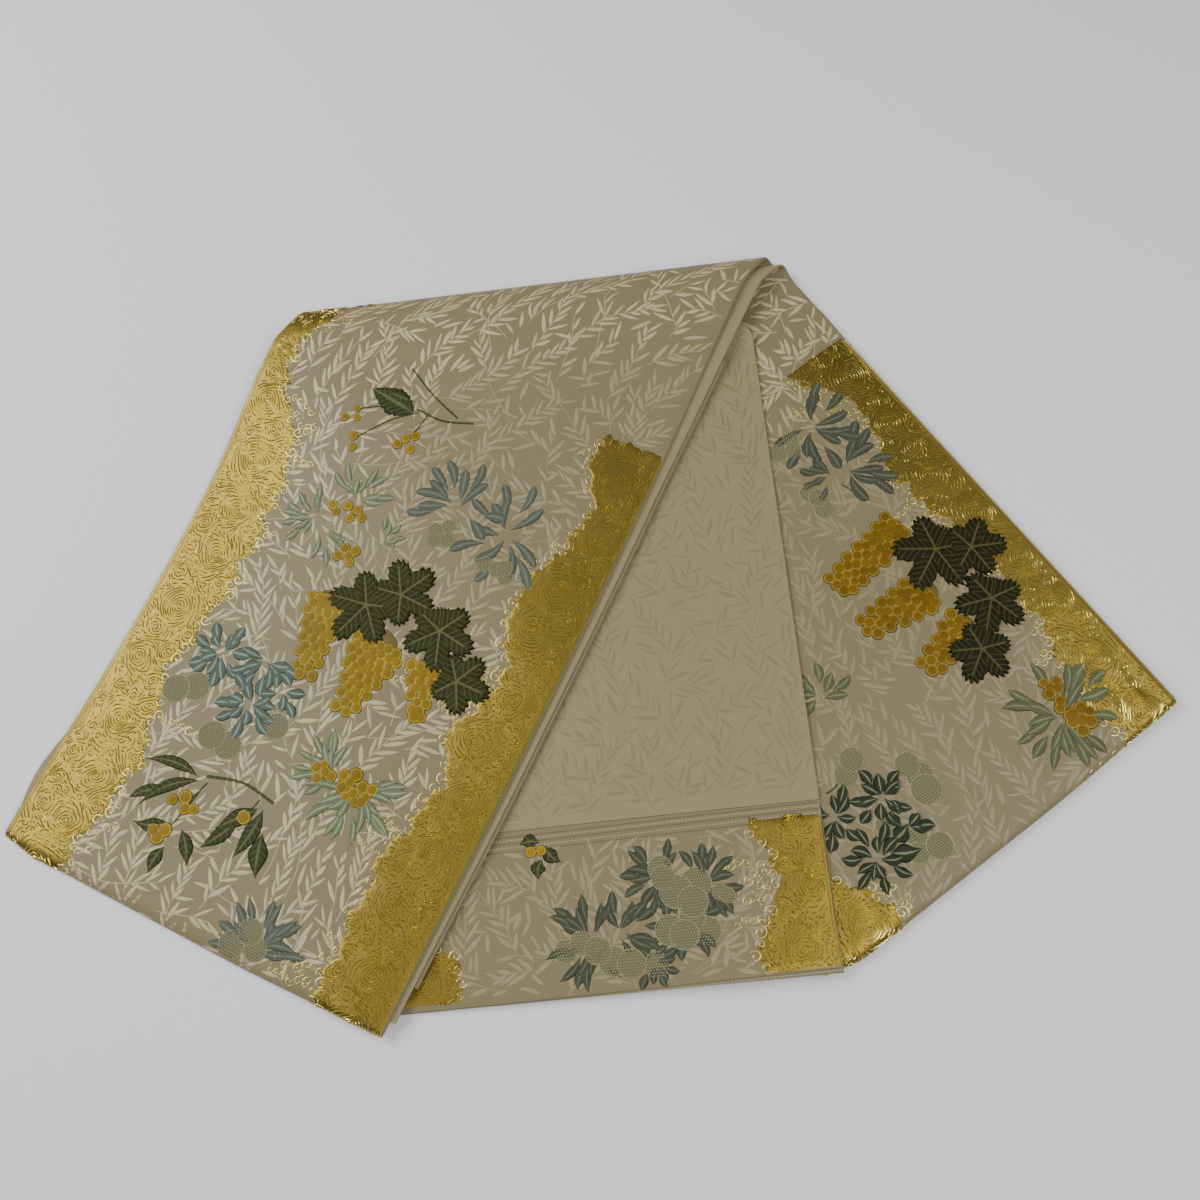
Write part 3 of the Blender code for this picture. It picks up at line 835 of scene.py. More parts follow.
LEAF_SHAPES = {
    # where the leaf is widest, how pointed its base and tip are, and its teeth: how many and how deep
    "lance": (0.55, 0.55, 0.50, 0, 0.0),
    "blade": (0.70, 0.50, 0.28, 0, 0.0),
    "petal": (0.58, 0.50, 0.36, 0, 0.0),
    "broad": (0.45, 0.60, 0.72, 0, 0.0),
    "toothed": (0.42, 0.55, 0.75, 11, 0.09),
}
LEAF_COLUMNS = np.array([-1.0, -0.86, -0.55, -0.22, 0.0, 0.22, 0.55, 0.86, 1.0])
THREE = np.array([-1.0, 0.0, 1.0])  # across a thread


def leaf_width(along, shape):
    widest, base, tip, teeth, depth = LEAF_SHAPES[shape]
    rise = np.sin(np.clip(along / widest, 0, 1) * math.pi / 2) ** (2 * base)
    fall = np.sin(np.clip((1 - along) / (1 - widest), 0, 1) * math.pi / 2) ** (2 * tip)
    width = np.minimum(rise, fall)
    if teeth:
        width = width * (1 - depth + 2 * depth * (1 - (along * teeth) % 1.0))
    return width


def add_leaf(figures, base, tip, width, shape, bend, height, tone, over):
    """A leaf from base to tip, domed, with a groove along its middle; over lifts it above its neighbours."""
    length = np.linalg.norm(tip - base)
    along = (tip - base) / length
    u = np.linspace(0, 1, int(np.clip(length / 1.8, 8, 30)))
    v = LEAF_COLUMNS
    half = np.maximum(leaf_width(u, shape) * width / 2, 0.15)
    sway = aside_of(along) * (bend * length * 4 * u * (1 - u))[:, None]
    middle = base + along * (u * length)[:, None] + sway
    dome = np.sqrt(np.clip(1 - v**2, 0, 1))
    groove = 1 - 0.45 * np.exp(-((v / 0.16) ** 2))
    full = np.minimum(1.0, half / (0.28 * width))[:, None]
    lift = np.where(np.abs(v) > 0.99, BURIED, over + height * (dome * groove) * full)
    grain = pairs((u * length)[:, None], half[:, None] * v)
    figures.add(strip(middle, half, v), lift, grid_faces(len(u), len(v)), grain, np.abs(v), tone)


LOBE_LENGTHS = np.array([0.78, 0.92, 1.0, 0.92, 0.78])  # of a vine leaf's five lobes, to its size
LOBE_WAYS = np.array([-128, -62, 0, 62, 128])  # degrees from its middle lobe
LOBE_BREADTH = 18.0  # mm from a lobe's middle line to its side


def add_vine_leaf(figures, joint, aim, size, over):
    """A lobed, toothed vine leaf round the point where its stalk joins; its middle lobe points along aim."""
    spokes, rings = 160, np.array([0.0, 0.12, 0.24, 0.36, 0.48, 0.60, 0.72, 0.84, 0.94, 1.0])
    tips = joint + (size * LOBE_LENGTHS)[:, None] * circle(np.radians(aim + LOBE_WAYS))
    reaches = tips - joint
    lengths = np.linalg.norm(reaches, axis=1)
    aims = np.degrees(np.arctan2(reaches[:, 1], reaches[:, 0]))
    degrees = np.arange(spokes) * 360 / spokes
    aside = (degrees[:, None] - aims + 180) % 360 - 180
    half = np.degrees(np.arctan2(LOBE_BREADTH, lengths * 0.75))
    lobes = lengths * np.cos(np.clip(aside / half, -1, 1) * math.pi / 2) ** 0.5
    reach = np.maximum(0.60 * np.median(lengths), lobes.max(axis=1))
    reach = reach * (0.90 + 0.17 * ((degrees / 9.0) % 1.0))
    from_vein = np.radians(aside[np.arange(spokes), np.abs(aside).argmin(axis=1)])
    distance = rings[:, None] * reach
    off = distance * np.sin(from_vein)
    vein = np.exp(-((off / 0.9) ** 2))
    chevron = np.cos((distance * np.cos(from_vein) - 0.8 * np.abs(off)) * 2 * math.pi / 4.7)
    dome = np.sqrt(np.clip(1 - rings**2, 0, 1))[:, None]
    lift = over + 0.6 * (0.35 + 0.65 * dome) * (1 - 0.5 * vein) * (0.87 + 0.13 * chevron)
    lift[-1] = BURIED
    edge = np.maximum(np.clip(np.abs(off) / 4.5, 0, 0.7), smooth((rings[:, None] - 0.8) / 0.2))
    points = joint + distance[..., None] * circle(np.radians(degrees))
    faces = grid_faces(len(rings), spokes, closed=True)
    figures.add(points, lift, faces, pairs(distance * np.cos(from_vein), off), edge)


def lengths_along(line):
    return np.concatenate([[0], np.cumsum(np.linalg.norm(np.diff(line, axis=0), axis=1))])


def add_line(figures, way, width, height, step=1.5):
    """A raised thread or stalk along a smooth line through the given points."""
    way = np.asarray(way, float)
    if len(way) > 2:
        way = smooth_line(way, step)
    else:
        count = max(2, int(np.linalg.norm(way[1] - way[0]) / (step * 2)) + 1)
        way = way[0] + np.linspace(0, 1, count)[:, None] * (way[1] - way[0])
    lift = np.where(np.abs(THREE) > 0.5, BURIED, height)
    grain = pairs(lengths_along(way)[:, None], THREE * width / 2)
    figures.add(strip(way, width / 2, THREE), lift, grid_faces(len(way), 3), grain, np.abs(THREE))


def smooth_line(points, step):
    """Even points along a Catmull-Rom curve through the given ones."""
    points = np.vstack([2 * points[0] - points[1], points, 2 * points[-1] - points[-2]])
    t = np.linspace(0, 1, 12, endpoint=False)[:, None]
    fine = []
    for p0, p1, p2, p3 in zip(points, points[1:], points[2:], points[3:]):
        curve = 2 * p1 + (p2 - p0) * t + (2 * p0 - 5 * p1 + 4 * p2 - p3) * t**2
        fine.append((curve + (3 * p1 - p0 - 3 * p2 + p3) * t**3) / 2)
    fine = np.vstack([*fine, points[-2:-1]])
    length = lengths_along(fine)
    even = np.linspace(0, length[-1], max(3, int(length[-1] / step) + 1))
    return pairs(np.interp(even, length, fine[:, 0]), np.interp(even, length, fine[:, 1]))


# ---------------------------------------- stamps, and what sets them out by the hundred


def stamp(name, figures):
    """A small mesh, one unit in size, that is set out many times."""
    points = np.column_stack([np.vstack(figures.points), np.concatenate(figures.lift)])
    mesh = new_mesh(name, points, figures.faces)
    figures.dress(mesh, 1)
    return linked(name, mesh)


def grid_stamp(name, points, lift, grain, edge):
    figures = Figures()
    figures.add(points, lift, grid_faces(*points.shape[:2]), grain, edge)
    return stamp(name, figures)


def leaf_stamp(name, bend):
    """A slim ground leaf: two halves that meet in a groove, with both ends pointed."""
    u = np.array([0.0, 0.14, 0.34, 0.58, 0.82, 1.0])
    v = np.array([-1.0, -0.5, 0.0, 0.5, 1.0])
    half = 0.5 * np.array([0.05, 0.62, 1.0, 0.95, 0.52, 0.04])[:, None]
    points = pairs(u, bend * 4 * u * (1 - u))[:, None] + pairs(0 * half, half * v)
    lift = np.tile([-0.3, 1.0, 0.40, 1.0, -0.3], (len(u), 1))
    lift[[0, -1]] = -0.3
    return grid_stamp(name, points, lift, pairs(u[:, None], v), np.abs(v))


def disc_stamp(name, rings, lifts, sides):
    """A round, raised berry, grape or dot, with rings out from its middle."""
    figures = Figures()
    spoke = circle(np.arange(sides) * 2 * math.pi / sides)
    points = np.vstack([[[0.0, 0.0]], *(ring * spoke for ring in rings)])
    lift = np.concatenate([[lifts[0]], np.repeat(lifts[1:], sides)])
    edge = np.concatenate([[0.0], np.repeat(rings, sides)])
    figures.add(points, lift, [], points, edge)
    figures.faces = [(0, 1 + k, 1 + (k + 1) % sides) for k in range(sides)]
    figures.faces += (grid_faces(len(rings), sides, closed=True) + 1).tolist()
    return stamp(name, figures)


def dash_stamp(name):
    """One short float of thread, a low bar."""
    points = pairs(np.array([-0.5, -0.38, 0.38, 0.5])[:, None], np.array([-0.5, -0.3, 0.3, 0.5]))
    lift = np.full((4, 4), -0.3)
    lift[1:3, 1:3] = 1.0
    return grid_stamp(name, points, lift, points, 0.5)


def curl_stamp(name, turns, hand):
    """A fine gold thread wound into a small curl."""
    way = np.linspace(0.12, 1.0, 15)
    line = (way**0.8)[:, None] * circle(hand * 2 * math.pi * turns * way)
    lift = np.array([-0.2, 1.0, -0.2])
    return grid_stamp(name, strip(line, 0.13, THREE), lift, pairs(way[:, None], THREE), np.abs(THREE))


def setting_out_tree():
    """Geometry Nodes: a stamp on every point, turned and sized by the point's values, each with its tone."""
    tree = bpy.data.node_groups.new("set_out_stamps", "GeometryNodeTree")
    for key, kind in (("Points", "Geometry"), ("Stamp", "Object"), ("Silk", "Material"), ("Seed", "Int")):
        tree.interface.new_socket(key, in_out="INPUT", socket_type=f"NodeSocket{kind}")
    tree.interface.new_socket("Figures", in_out="OUTPUT", socket_type="NodeSocketGeometry")
    given = node(tree, "NodeGroupInput").outputs
    turn, size = (
        node(tree, "GeometryNodeInputNamedAttribute", {"data_type": kind}, Name=name).outputs["Attribute"]
        for name, kind in (("turn", "FLOAT"), ("size", "FLOAT_VECTOR"))
    )
    spin = node(tree, "ShaderNodeCombineXYZ", Z=turn).outputs["Vector"]
    chance = node(tree, "FunctionNodeRandomValue", {"data_type": "FLOAT"}, Seed=given["Seed"])
    placed = node(
        tree,
        "GeometryNodeInstanceOnPoints",
        Points=given["Points"],
        Instance=node(tree, "GeometryNodeObjectInfo", Object=given["Stamp"]).outputs["Geometry"],
        Rotation=node(tree, "FunctionNodeEulerToRotation", Euler=spin).outputs["Rotation"],
        Scale=size,
    )
    toned = node(
        tree,
        "GeometryNodeStoreNamedAttribute",
        {"data_type": "FLOAT", "domain": "INSTANCE"},
        Geometry=placed.outputs["Instances"],
        Name="chance",
        Value=chance.outputs["Value"],
    )
    real = node(tree, "GeometryNodeRealizeInstances", Geometry=toned.outputs["Geometry"])
    dressed = node(tree, "GeometryNodeSetMaterial", Geometry=real.outputs["Geometry"], Material=given["Silk"])
    node(tree, "NodeGroupOutput", Figures=dressed.outputs["Geometry"])
    return tree


def stamped(name, tree, shape, material, places, seed):
    """A flat mesh of one stamp on all its places."""
    mesh = new_mesh(f"{name}_places", np.column_stack([places[:, :2], 0 * places[:, 0]]) * MM, [])
    add_values(mesh, "turn", places[:, 2])
    add_values(mesh, "size", places[:, 3:6] * MM, "FLOAT_VECTOR", "vector")
    helper = linked(f"{name}_places", mesh)
    modifier = helper.modifiers.new("set_out", "NODES")
    modifier.node_group = tree
    inputs = {item.name: item.identifier for item in tree.interface.items_tree if item.in_out == "INPUT"}
    for key, value in (("Stamp", shape), ("Silk", material), ("Seed", seed)):
        modifier[inputs[key]] = value
    graph = bpy.context.evaluated_depsgraph_get()
    made = bpy.data.meshes.new_from_object(helper.evaluated_get(graph))
    bpy.data.objects.remove(helper)
    return made


def set_out(name, leg, cloth, tree, material, stamps, places, seed, over=0.0, fade=None):
    """One piece of many stamps laid on a leg.

    places has a row for each stamp: x, y, turn, length, width and height in millimetres, and which one it is.
    """
    places = np.asarray(places, float)
    meshes = []
    for number, shape in enumerate(stamps):
        chosen = places[places[:, 6] == number]
        if len(chosen):
            meshes.append(stamped(name, tree, shape, material, chosen, seed + number))
    pieces = []
    for mesh in meshes:
        raw = np.empty(len(mesh.vertices) * 3)
        mesh.vertices.foreach_get("co", raw)
        raw = raw.reshape(-1, 3)
        flat = raw[:, :2] / MM
        lift = raw[:, 2] + over * MM * (raw[:, 2] > 0)
        placed = cloth.place(on_leg(leg, flat), lift) + (*FOLD_LEFT, 0.0)
        mesh.vertices.foreach_set("co", placed.ravel())
        add_values(mesh, "fade", np.ones(len(raw)) if fade is None else fade(flat))
        mesh.update()
        pieces.append(linked(name, mesh))
    if len(pieces) > 1:
        with bpy.context.temp_override(active_object=pieces[0], selected_editable_objects=pieces):
            bpy.ops.object.join()
    pieces[0].name = name
    return pieces[0]


# ---------------------------------------- the ground's leaves

# Sprigs stand on an uneven lattice, each a curved stem with leaves in turn on its two sides.
SPRIG_ACROSS, SPRIG_ALONG = 33.0, 42.0  # mm between sprigs
SPRIG_LENGTH = (60.0, 92.0)
LEAF_PITCH = 7.6  # mm between leaves on one side of a stem
LEAF_LENGTH = (13.0, 22.0)
LEAF_BREADTH = (2.4, 3.8)
LEAF_RAISE = 0.15
STEM_BREADTH, STEM_RAISE = 0.8, 0.12
CROWDED = 0.12  # the share of a leaf's place that may be taken already
WAY_STEP = 2.0  # mm between the points of a stem
LONG_FILLERS, FILLERS = 1500, 3600  # how often a further sprig is tried in what is left


def kept_inside(cells, taken):
    return cells[((cells >= 0) & (cells < taken.shape)).all(axis=1)]


class Room:
    """Which square millimetres of a leg are still free."""

    def __init__(self, low, high):
        self.low = np.array(low)
        self.taken = np.zeros(np.subtract(high, low).astype(int) + 1, bool)

    def cells(self, points):
        return kept_inside(np.round(points - self.low).astype(int), self.taken)

    def share_taken(self, points):
        cells = self.cells(points)
        return self.taken[cells[:, 0], cells[:, 1]].mean() if len(cells) else 1.0

    def take(self, points):
        cells = self.cells(points)
        self.taken[cells[:, 0], cells[:, 1]] = True


def leaf_cells(base, turn, length, width):
    u = np.arange(1.0, length, 0.8)
    half = np.sin(u / length * math.pi) * width / 2 + 0.3
    v = np.linspace(-1, 1, 5)
    along = np.array([math.cos(turn), math.sin(turn)])
    return (base + along * u[:, None])[:, None] + aside_of(along) * (half[:, None] * v)[..., None]


def draw_sprigs(low, high, seed, wanted):
    """Leaves and stems of the ground pattern over a rectangle; wanted says where a leaf may stand."""
    rng = np.random.default_rng(seed)
    room = Room(low, high)
    leaves, stems = [], []

    def flow(point):
        """The way the sprigs grow at a point: mostly along the band, swinging slowly from side to side."""
        x, y = point
        return math.pi / 2 + 0.95 * math.sin(x / 46.0 + seed) * math.cos(y / 61.0 + 2 * seed)

    def sprig(start, turn, length, curl):
        steps = np.arange(0.0, length, WAY_STEP)
        turns = turn + curl * steps + 0.10 * np.sin(steps / 6.5 + rng.uniform(0, 6))
        way = start + np.cumsum(circle(turns) * WAY_STEP, axis=0)
        grown = []
        side = rng.choice([-1, 1])
        distance = 4.0
        while distance < length:
            side = -side
            place = min(int(distance / WAY_STEP), len(way) - 1)
            share = distance / length
            long = rng.uniform(*LEAF_LENGTH) * (1.0 - 0.30 * share)
            wide = rng.uniform(*LEAF_BREADTH) * (1.0 - 0.10 * share)
            lean = math.radians(rng.uniform(26, 52)) * (1 - 0.4 * share) * side
            aim = turns[place] + lean
            cells = leaf_cells(way[place], aim, long, wide).reshape(-1, 2)
            outer = cells[len(cells) // 3 :]
            distance += LEAF_PITCH / 2 * rng.uniform(0.8, 1.25)
            if room.share_taken(outer) > CROWDED:
                continue
            if not wanted(np.array([way[place], outer.mean(axis=0)])).all():
                continue
            room.take(cells)
            grown.append(distance)
            kind = rng.integers(2) + (0 if side > 0 else 2)
            leaves.append((*way[place], aim, long, wide, LEAF_RAISE, kind))
        if len(grown) > 1:
            stems.append(way[: int(grown[-1] / WAY_STEP) + 1])
            room.take(stems[-1])

    for row, y in enumerate(np.arange(low[1] - 20, high[1] + 20, SPRIG_ALONG)):
        for x in np.arange(low[0] - 20, high[0] + 20, SPRIG_ACROSS):
            start = np.array([x + SPRIG_ACROSS / 2 * (row % 2), y]) + rng.uniform(-7, 7, 2)
            turn = flow(start) + rng.choice([-1, 1]) * rng.uniform(0.15, 0.9)
            sprig(start, turn, rng.uniform(*SPRIG_LENGTH), rng.uniform(-0.012, 0.012))
    for number in range(FILLERS):
        start = rng.uniform(low, high)
        if room.share_taken(start + rng.uniform(-4, 4, (12, 2))) > CROWDED:
            continue
        length = rng.uniform(22, 42) if number < LONG_FILLERS else rng.uniform(8, 18)
        sprig(start, flow(start) + rng.uniform(-1.6, 1.6), length, rng.uniform(-0.02, 0.02))
    return leaves, stems


# ---------------------------------------- the gold border

THREAD_PITCH = 2.15  # mm from one raised gilt thread to the next
THREAD_BREADTH = 1.15
THREAD_RAISE = 0.65
THREAD_ROOM = 0.60 * THREAD_PITCH  # how far round itself a thread keeps others off
THREAD_STEP = 1.1  # mm between the points of a thread
PLATE_GRID = 2.4  # mm
PLATE_PUFF = 0.40  # how far the plate swells under a large scroll
CELL = 0.4  # mm, of the record of what is taken


def gold_centres(span, reach, seed):
    """Centres and sizes of a border's scrolls: large ones in a chain, then smaller ones in what is left."""
    rng = np.random.default_rng(seed)
    centres = []
    along = span[0] + rng.uniform(6, 18)
    while along < span[1]:
        width = reach(np.array([along]))[0]
        size = np.clip(width * 0.38, 6.0, 17.0) * rng.uniform(0.75, 1.1)
        centres.append((along, rng.uniform(0.42, 0.66) * width, size))
        along += rng.uniform(34, 50)
    for size, tries in ((8.5, 400), (5.5, 900), (3.6, 1800)):
        for _ in range(tries):
            along = rng.uniform(*span)
            inner = 5 + 0.8 * size
            out = rng.uniform(inner, max(reach(np.array([along]))[0] - 0.5 * size, inner + 0.1))
            if all((along - a) ** 2 + (out - b) ** 2 > (0.92 * (size + c)) ** 2 for a, b, c in centres):
                centres.append((along, out, size * rng.uniform(0.8, 1.2)))
    return np.array(centres)


class GoldField:
    """Which way the gilt threads run, and which of the border they have taken."""

    def __init__(self, span, reach, seed):
        rng = np.random.default_rng(seed + 7)
        self.span, self.reach = span, reach
        self.centres = gold_centres(span, reach, seed)
        self.hands = rng.choice([-1.0, 1.0], len(self.centres))
        along = np.arange(span[0] - 2, span[1] + 2, 1.0)
        out = np.arange(0.0, reach(along).max() + 3, 1.0)
        at = np.stack(np.meshgrid(along, out, indexing="ij"), axis=-1)
        drift = 0.9 * np.sin(at[..., 0] / 19.0 + seed) * np.cos(at[..., 1] / 11.0)
        flow = 0.22 * circle(drift)
        self.puff = np.zeros(at.shape[:2])
        for (a, b, size), hand in zip(self.centres, self.hands):
            away = at - (a, b)
            distance = np.maximum(np.hypot(away[..., 0], away[..., 1]), 0.3)
            pull = np.exp(-((distance / size) ** 2)) * min(size / 8.0, 1.5)
            flow += hand * pull[..., None] * (aside_of(away) / distance[..., None])
            dome = np.sqrt(np.clip(1 - (distance / (1.25 * size)) ** 2, 0, 1)) * min(size / 14.0, 1)
            self.puff = np.maximum(self.puff, PLATE_PUFF * dome)
        self.flow = flow / np.maximum(np.linalg.norm(flow, axis=-1, keepdims=True), 1e-6)
        self.taken = np.zeros((int((span[1] - span[0] + 4) / CELL), int((out[-1] + 4) / CELL)), bool)
        near = THREAD_ROOM / CELL
        disc = range(-int(near), int(near) + 1)
        self.disc = np.array([(i, j) for i in disc for j in disc if math.hypot(i, j) < near])

    def cell(self, point):
        return int((point[0] - self.span[0] + 2) / CELL), int((point[1] + 1) / CELL)

    def free(self, point):
        if not (self.span[0] + 0.8 < point[0] < self.span[1] - 0.8 and point[1] > self.margin(point[0])):
            return False
        if point[1] > self.limit(point[0]):
            return False
        i, j = self.cell(point)
        return not self.taken[i, j]

    def margin(self, along):
        """How wide the plain strip beside the seam is."""
        return 3.4 + 1.4 * math.sin(along / 27.0) ** 4 + 0.4 * math.sin(along / 4.1)

    def limit(self, along):
        return np.interp(along, self.rows, self.limits)

    def take(self, point):
        cells = kept_inside(self.cell(point) + self.disc, self.taken)
        self.taken[cells[:, 0], cells[:, 1]] = True

    def flow_at(self, point):
        """The way the threads run at a point, or None off the border."""
        i, j = int(point[0] - self.span[0] + 2.5), int(point[1] + 0.5)
        inside = 0 <= i < self.flow.shape[0] and 0 <= j < self.flow.shape[1]
        return self.flow[i, j] if inside else None

    def along_flow(self, start, side, steps):
        """The points of a thread from a start, until it meets another thread or itself."""
        points = [start]
        for _ in range(steps):
            flow = self.flow_at(points[-1])
            if flow is None:
                break
            point = points[-1] + side * THREAD_STEP * flow
            if not self.free(point):
                break
            points.append(point)
            if len(points) > 7:
                self.take(points[-7])
        return points

    def threads(self, seed):
        """Even threads over the whole border: a coil in each scroll first, then lines beside lines."""
        rng = np.random.default_rng(seed + 11)
        self.rows = np.arange(self.span[0], self.span[1], 0.5)
        self.limits = self.reach(self.rows) - 0.8
        lines = []
        for (a, b, size), hand in zip(self.centres, self.hands):
            turns = 0.6 * size / THREAD_PITCH if size > 5 else 1.25
            way = np.arange(0.25, turns, THREAD_STEP / (2 * math.pi * THREAD_PITCH * 0.5 * turns) + 0.02)
            angle = hand * 2 * math.pi * way + rng.uniform(0, 6.28)
            coil = (a, b) + (THREAD_PITCH * way)[:, None] * circle(angle)
            coil = [point for point in coil if self.free(point)]
            if len(coil) > 4:
                lines.append(np.array(coil))
        for line in lines:
            for point in line:
                self.take(point)
        waiting = [point for line in lines for point in line[::3]]
        waiting += [(rng.uniform(*self.span), rng.uniform(4, 60)) for _ in range(400)]
        for spot in waiting:  # which grows as threads are laid
            point, flow = np.array(spot), self.flow_at(spot)
            if flow is None:
                continue
            aside = aside_of(flow)
            for start in (point + aside * THREAD_PITCH, point - aside * THREAD_PITCH):
                if not self.free(start):
                    continue
                steps = int(rng.choice([3, 6, 14, 30, 50]))
                line = self.along_flow(start, -1, steps)[::-1] + self.along_flow(start, 1, steps)[1:]
                for laid in line:
                    self.take(laid)
                waiting += line[::3]
                if len(line) > 2:
                    lines.append(np.array(line))
        return lines

    def swell(self, along, out):
        i = np.clip((along - self.span[0] + 2.5).astype(int), 0, self.puff.shape[0] - 1)
        j = np.clip((out + 0.5).astype(int), 0, self.puff.shape[1] - 1)
        return 0.12 + self.puff[i, j] * np.clip(out / 6.0, 0, 1)


def gold_reach(table, seed):
    """The border's width along a leg, from a few widths, with small lobes between them."""
    table = np.array(table, float)

    def reach(along):
        base = np.interp(along, table[:, 0], table[:, 1])
        lobes = 4.2 * np.abs(np.sin(along / 6.1 + seed)) + 5.0 * np.abs(np.sin(along / 14.3 + 2 * seed)) - 3.5
        return np.maximum(base + lobes + 1.3 * np.sin(along / 1.3 + seed), 8.0)

    return reach


def add_gold(figures, side, edge, span, reach, seed, ragged=0.0):
    """Gilt silk along an edge of a leg: a plain plate with raised threads. side is 0 for the left edge."""
    rows = np.arange(span[0], span[1] + PLATE_GRID / 2, PLATE_GRID)
    field = GoldField(span, reach, seed)
    width = reach(rows)
    columns = int(np.ceil(width.max() / PLATE_GRID)) + 1
    out = 0.25 + (width[:, None] - 0.25) * np.linspace(0, 1, columns)
    top = 2.2 * np.sin(out / 3.1 + seed) + 1.3 * np.sin(out / 1.4)
    along = rows[:, None] + ragged * top * smooth((rows[:, None] - span[1] + 12) / 12)
    hand = 1 if side == 0 else -1
    lift = field.swell(along, out)
    for rim in (np.s_[:, 0], np.s_[:, -1], np.s_[0], np.s_[-1]):
        lift[rim] = BURIED
    faces = grid_faces(len(rows), columns)[:, ::-hand]
    figures.add(pairs(edge(along) + hand * out, along), lift, faces, pairs(along, out), 1.0)
    seam = np.arange(span[0] + 1, span[1] - 1, 2.0)
    for line in [*field.threads(seed), pairs(seam, 1.3), pairs(seam, 3.0)]:
        a, b = line[:, 0], line[:, 1]
        inner = np.clip((b - 3.5) / 6, 0, 1)
        along_warp = 1.3 * np.sin(b / 5.1 + seed + np.sin(a / 7.0)) + 0.22 * np.sin(b / 0.55 + a)
        out_warp = 1.3 * np.sin(a / 5.7 + 2 * seed + np.sin(b / 8.0)) + 0.22 * np.sin(a / 0.52 - b)
        line = line + inner[:, None] * pairs(along_warp, out_warp)
        taper = np.clip(np.minimum(np.arange(len(line)), np.arange(len(line))[::-1]) / 1.5 + 0.35, 0, 1)
        spots = strip(line, THREAD_BREADTH / 2 * taper, THREE)
        along, out = spots[..., 0], spots[..., 1]
        high = THREAD_RAISE * taper * (0.8 + 0.2 * np.sin(a * 1.9) * np.sin(b * 2.3))
        lift = field.swell(along, out) + np.column_stack([0 * high - 0.05, high, 0 * high - 0.05])
        faces = grid_faces(len(line), 3)[:, ::-hand]
        figures.add(pairs(edge(along) + hand * out, along), lift, faces, spots, np.abs(THREE))


def curl_places(side, edge, span, reach, seed):
    """Small curls of gold thread that stand off the border's inner edge, in lacy chains."""
    rng = np.random.default_rng(seed + 50)
    places = []
    hand = 1 if side == 0 else -1

    def curl(along, out, size):
        x = float(edge(np.array([along]))[0]) + hand * out
        places.append((x, along, rng.uniform(0, 6.28), size, size, 0.5, rng.integers(2)))

    along = span[0] + 4
    while along < span[1] - 3:
        size = rng.uniform(2.8, 4.8)
        width = float(reach(np.array([along]))[0])
        curl(along, width + rng.uniform(-0.1, 0.6) * size, size)
        step = size * 1.5
        while math.sin(along / 17.0 + seed) > 0.1 and rng.random() < 0.7:
            size = rng.uniform(2.4, 3.8)
            curl(along + rng.uniform(-3.5, 3.5), width + step + size * 0.5, size)
            step += size * 1.7
        along += rng.uniform(6.0, 10.0)
    return places


# ---------------------------------------- where the woven figures stand, in millimetres

# Every figure is set out by rule, from a place in whole millimetres and a size. Most fans and heaps hold
# many pieces; some hold only one to four, and a stalk or a bunch is one row. A fan is its heart, the first
# and last way its leaves point (degrees, 0 across and 90 up the leg), how many there are, how long the
# shortest and longest are, and how broad. A heap is its middle, half its reach across and up, how many
# discs, and the smallest and largest radius. A vine leaf is where its stalk joins, the way its middle lobe
# points, and its size. A bunch is its top, its tip, and its breadth at each. A stalk is its width, its two
# ends, and its sag.
LEFT_TOOTHED_FANS = [(126, 402, 172, 186, 1, 48, 52, 23), (88, 412, 12, 20, 1, 26, 30, 10)]
LEFT_BROAD_FANS = [
    (115, 90, 195, 225, 3, 50, 62, 11), (160, 95, 225, 290, 4, 38, 55, 14),
    (110, 55, 210, 300, 3, 28, 40, 13),
]
LEFT_STEEL_FANS = [
    (184, 347, 75, 215, 9, 28, 40, 8), (230, 342, 50, 330, 13, 24, 44, 8), (195, 346, -20, 30, 2, 22, 28, 10),
]
LEFT_SAGE_FANS = [
    (88, 296, 110, 260, 13, 14, 28, 6), (112, 322, 10, 160, 11, 14, 30, 6),
    (100, 290, 285, 370, 5, 20, 30, 6),
    (145, 302, 0, 110, 6, 12, 18, 5), (193, 134, 90, 225, 13, 16, 32, 6), (216, 130, 190, 410, 19, 22, 40, 7),
]
LEFT_TEAL_FANS = [
    (75, 176, 70, 330, 14, 15, 26, 9), (110, 186, 180, 380, 13, 17, 30, 9),
    (114, 152, 130, 380, 13, 14, 28, 9),
    (132, 170, 200, 380, 5, 14, 22, 8),
]
LEFT_SPIKY_FANS = [(205, 5, 10, 190, 19, 24, 38, 7)]
LEFT_HEAPS = [(75, 380, 6, 8, 3, 3, 4), (88, 362, 4, 5, 2, 3.5, 4.5), (125, 378, 8, 8, 4, 3, 4.5)]
LEFT_BERRY_HEAPS = [
    *LEFT_HEAPS, (110, 310, 14, 5, 6, 3.5, 4.5), (125, 282, 8, 8, 5, 3.5, 5), (107, 70, 9, 5, 4, 4, 6),
    (102, 43, 6, 6, 3, 5, 6), (152, 81, 1, 1, 1, 6, 6), (188, 132, 8, 6, 5, 4, 5.5),
    (214, 132, 14, 9, 11, 4, 6),
]
LEFT_FRUIT_HEAPS = [
    (185, 325, 8, 10, 4, 5, 6), (235, 316, 12, 4, 4, 5.5, 6.5), (65, 147, 10, 14, 2, 10, 11.5),
    (110, 120, 10, 5, 2, 10, 11), (140, 147, 1, 1, 1, 10, 10), (200, 6, 16, 10, 3, 8, 11),
]
LEFT_VINE = [(158, 253, 250, 34), (178, 270, 60, 30), (217, 258, 290, 32), (245, 230, 0, 27)]
LEFT_BUNCHES = [(130, 245, 140, 185, 30, 15), (180, 230, 180, 175, 40, 15), (220, 230, 230, 195, 25, 10)]
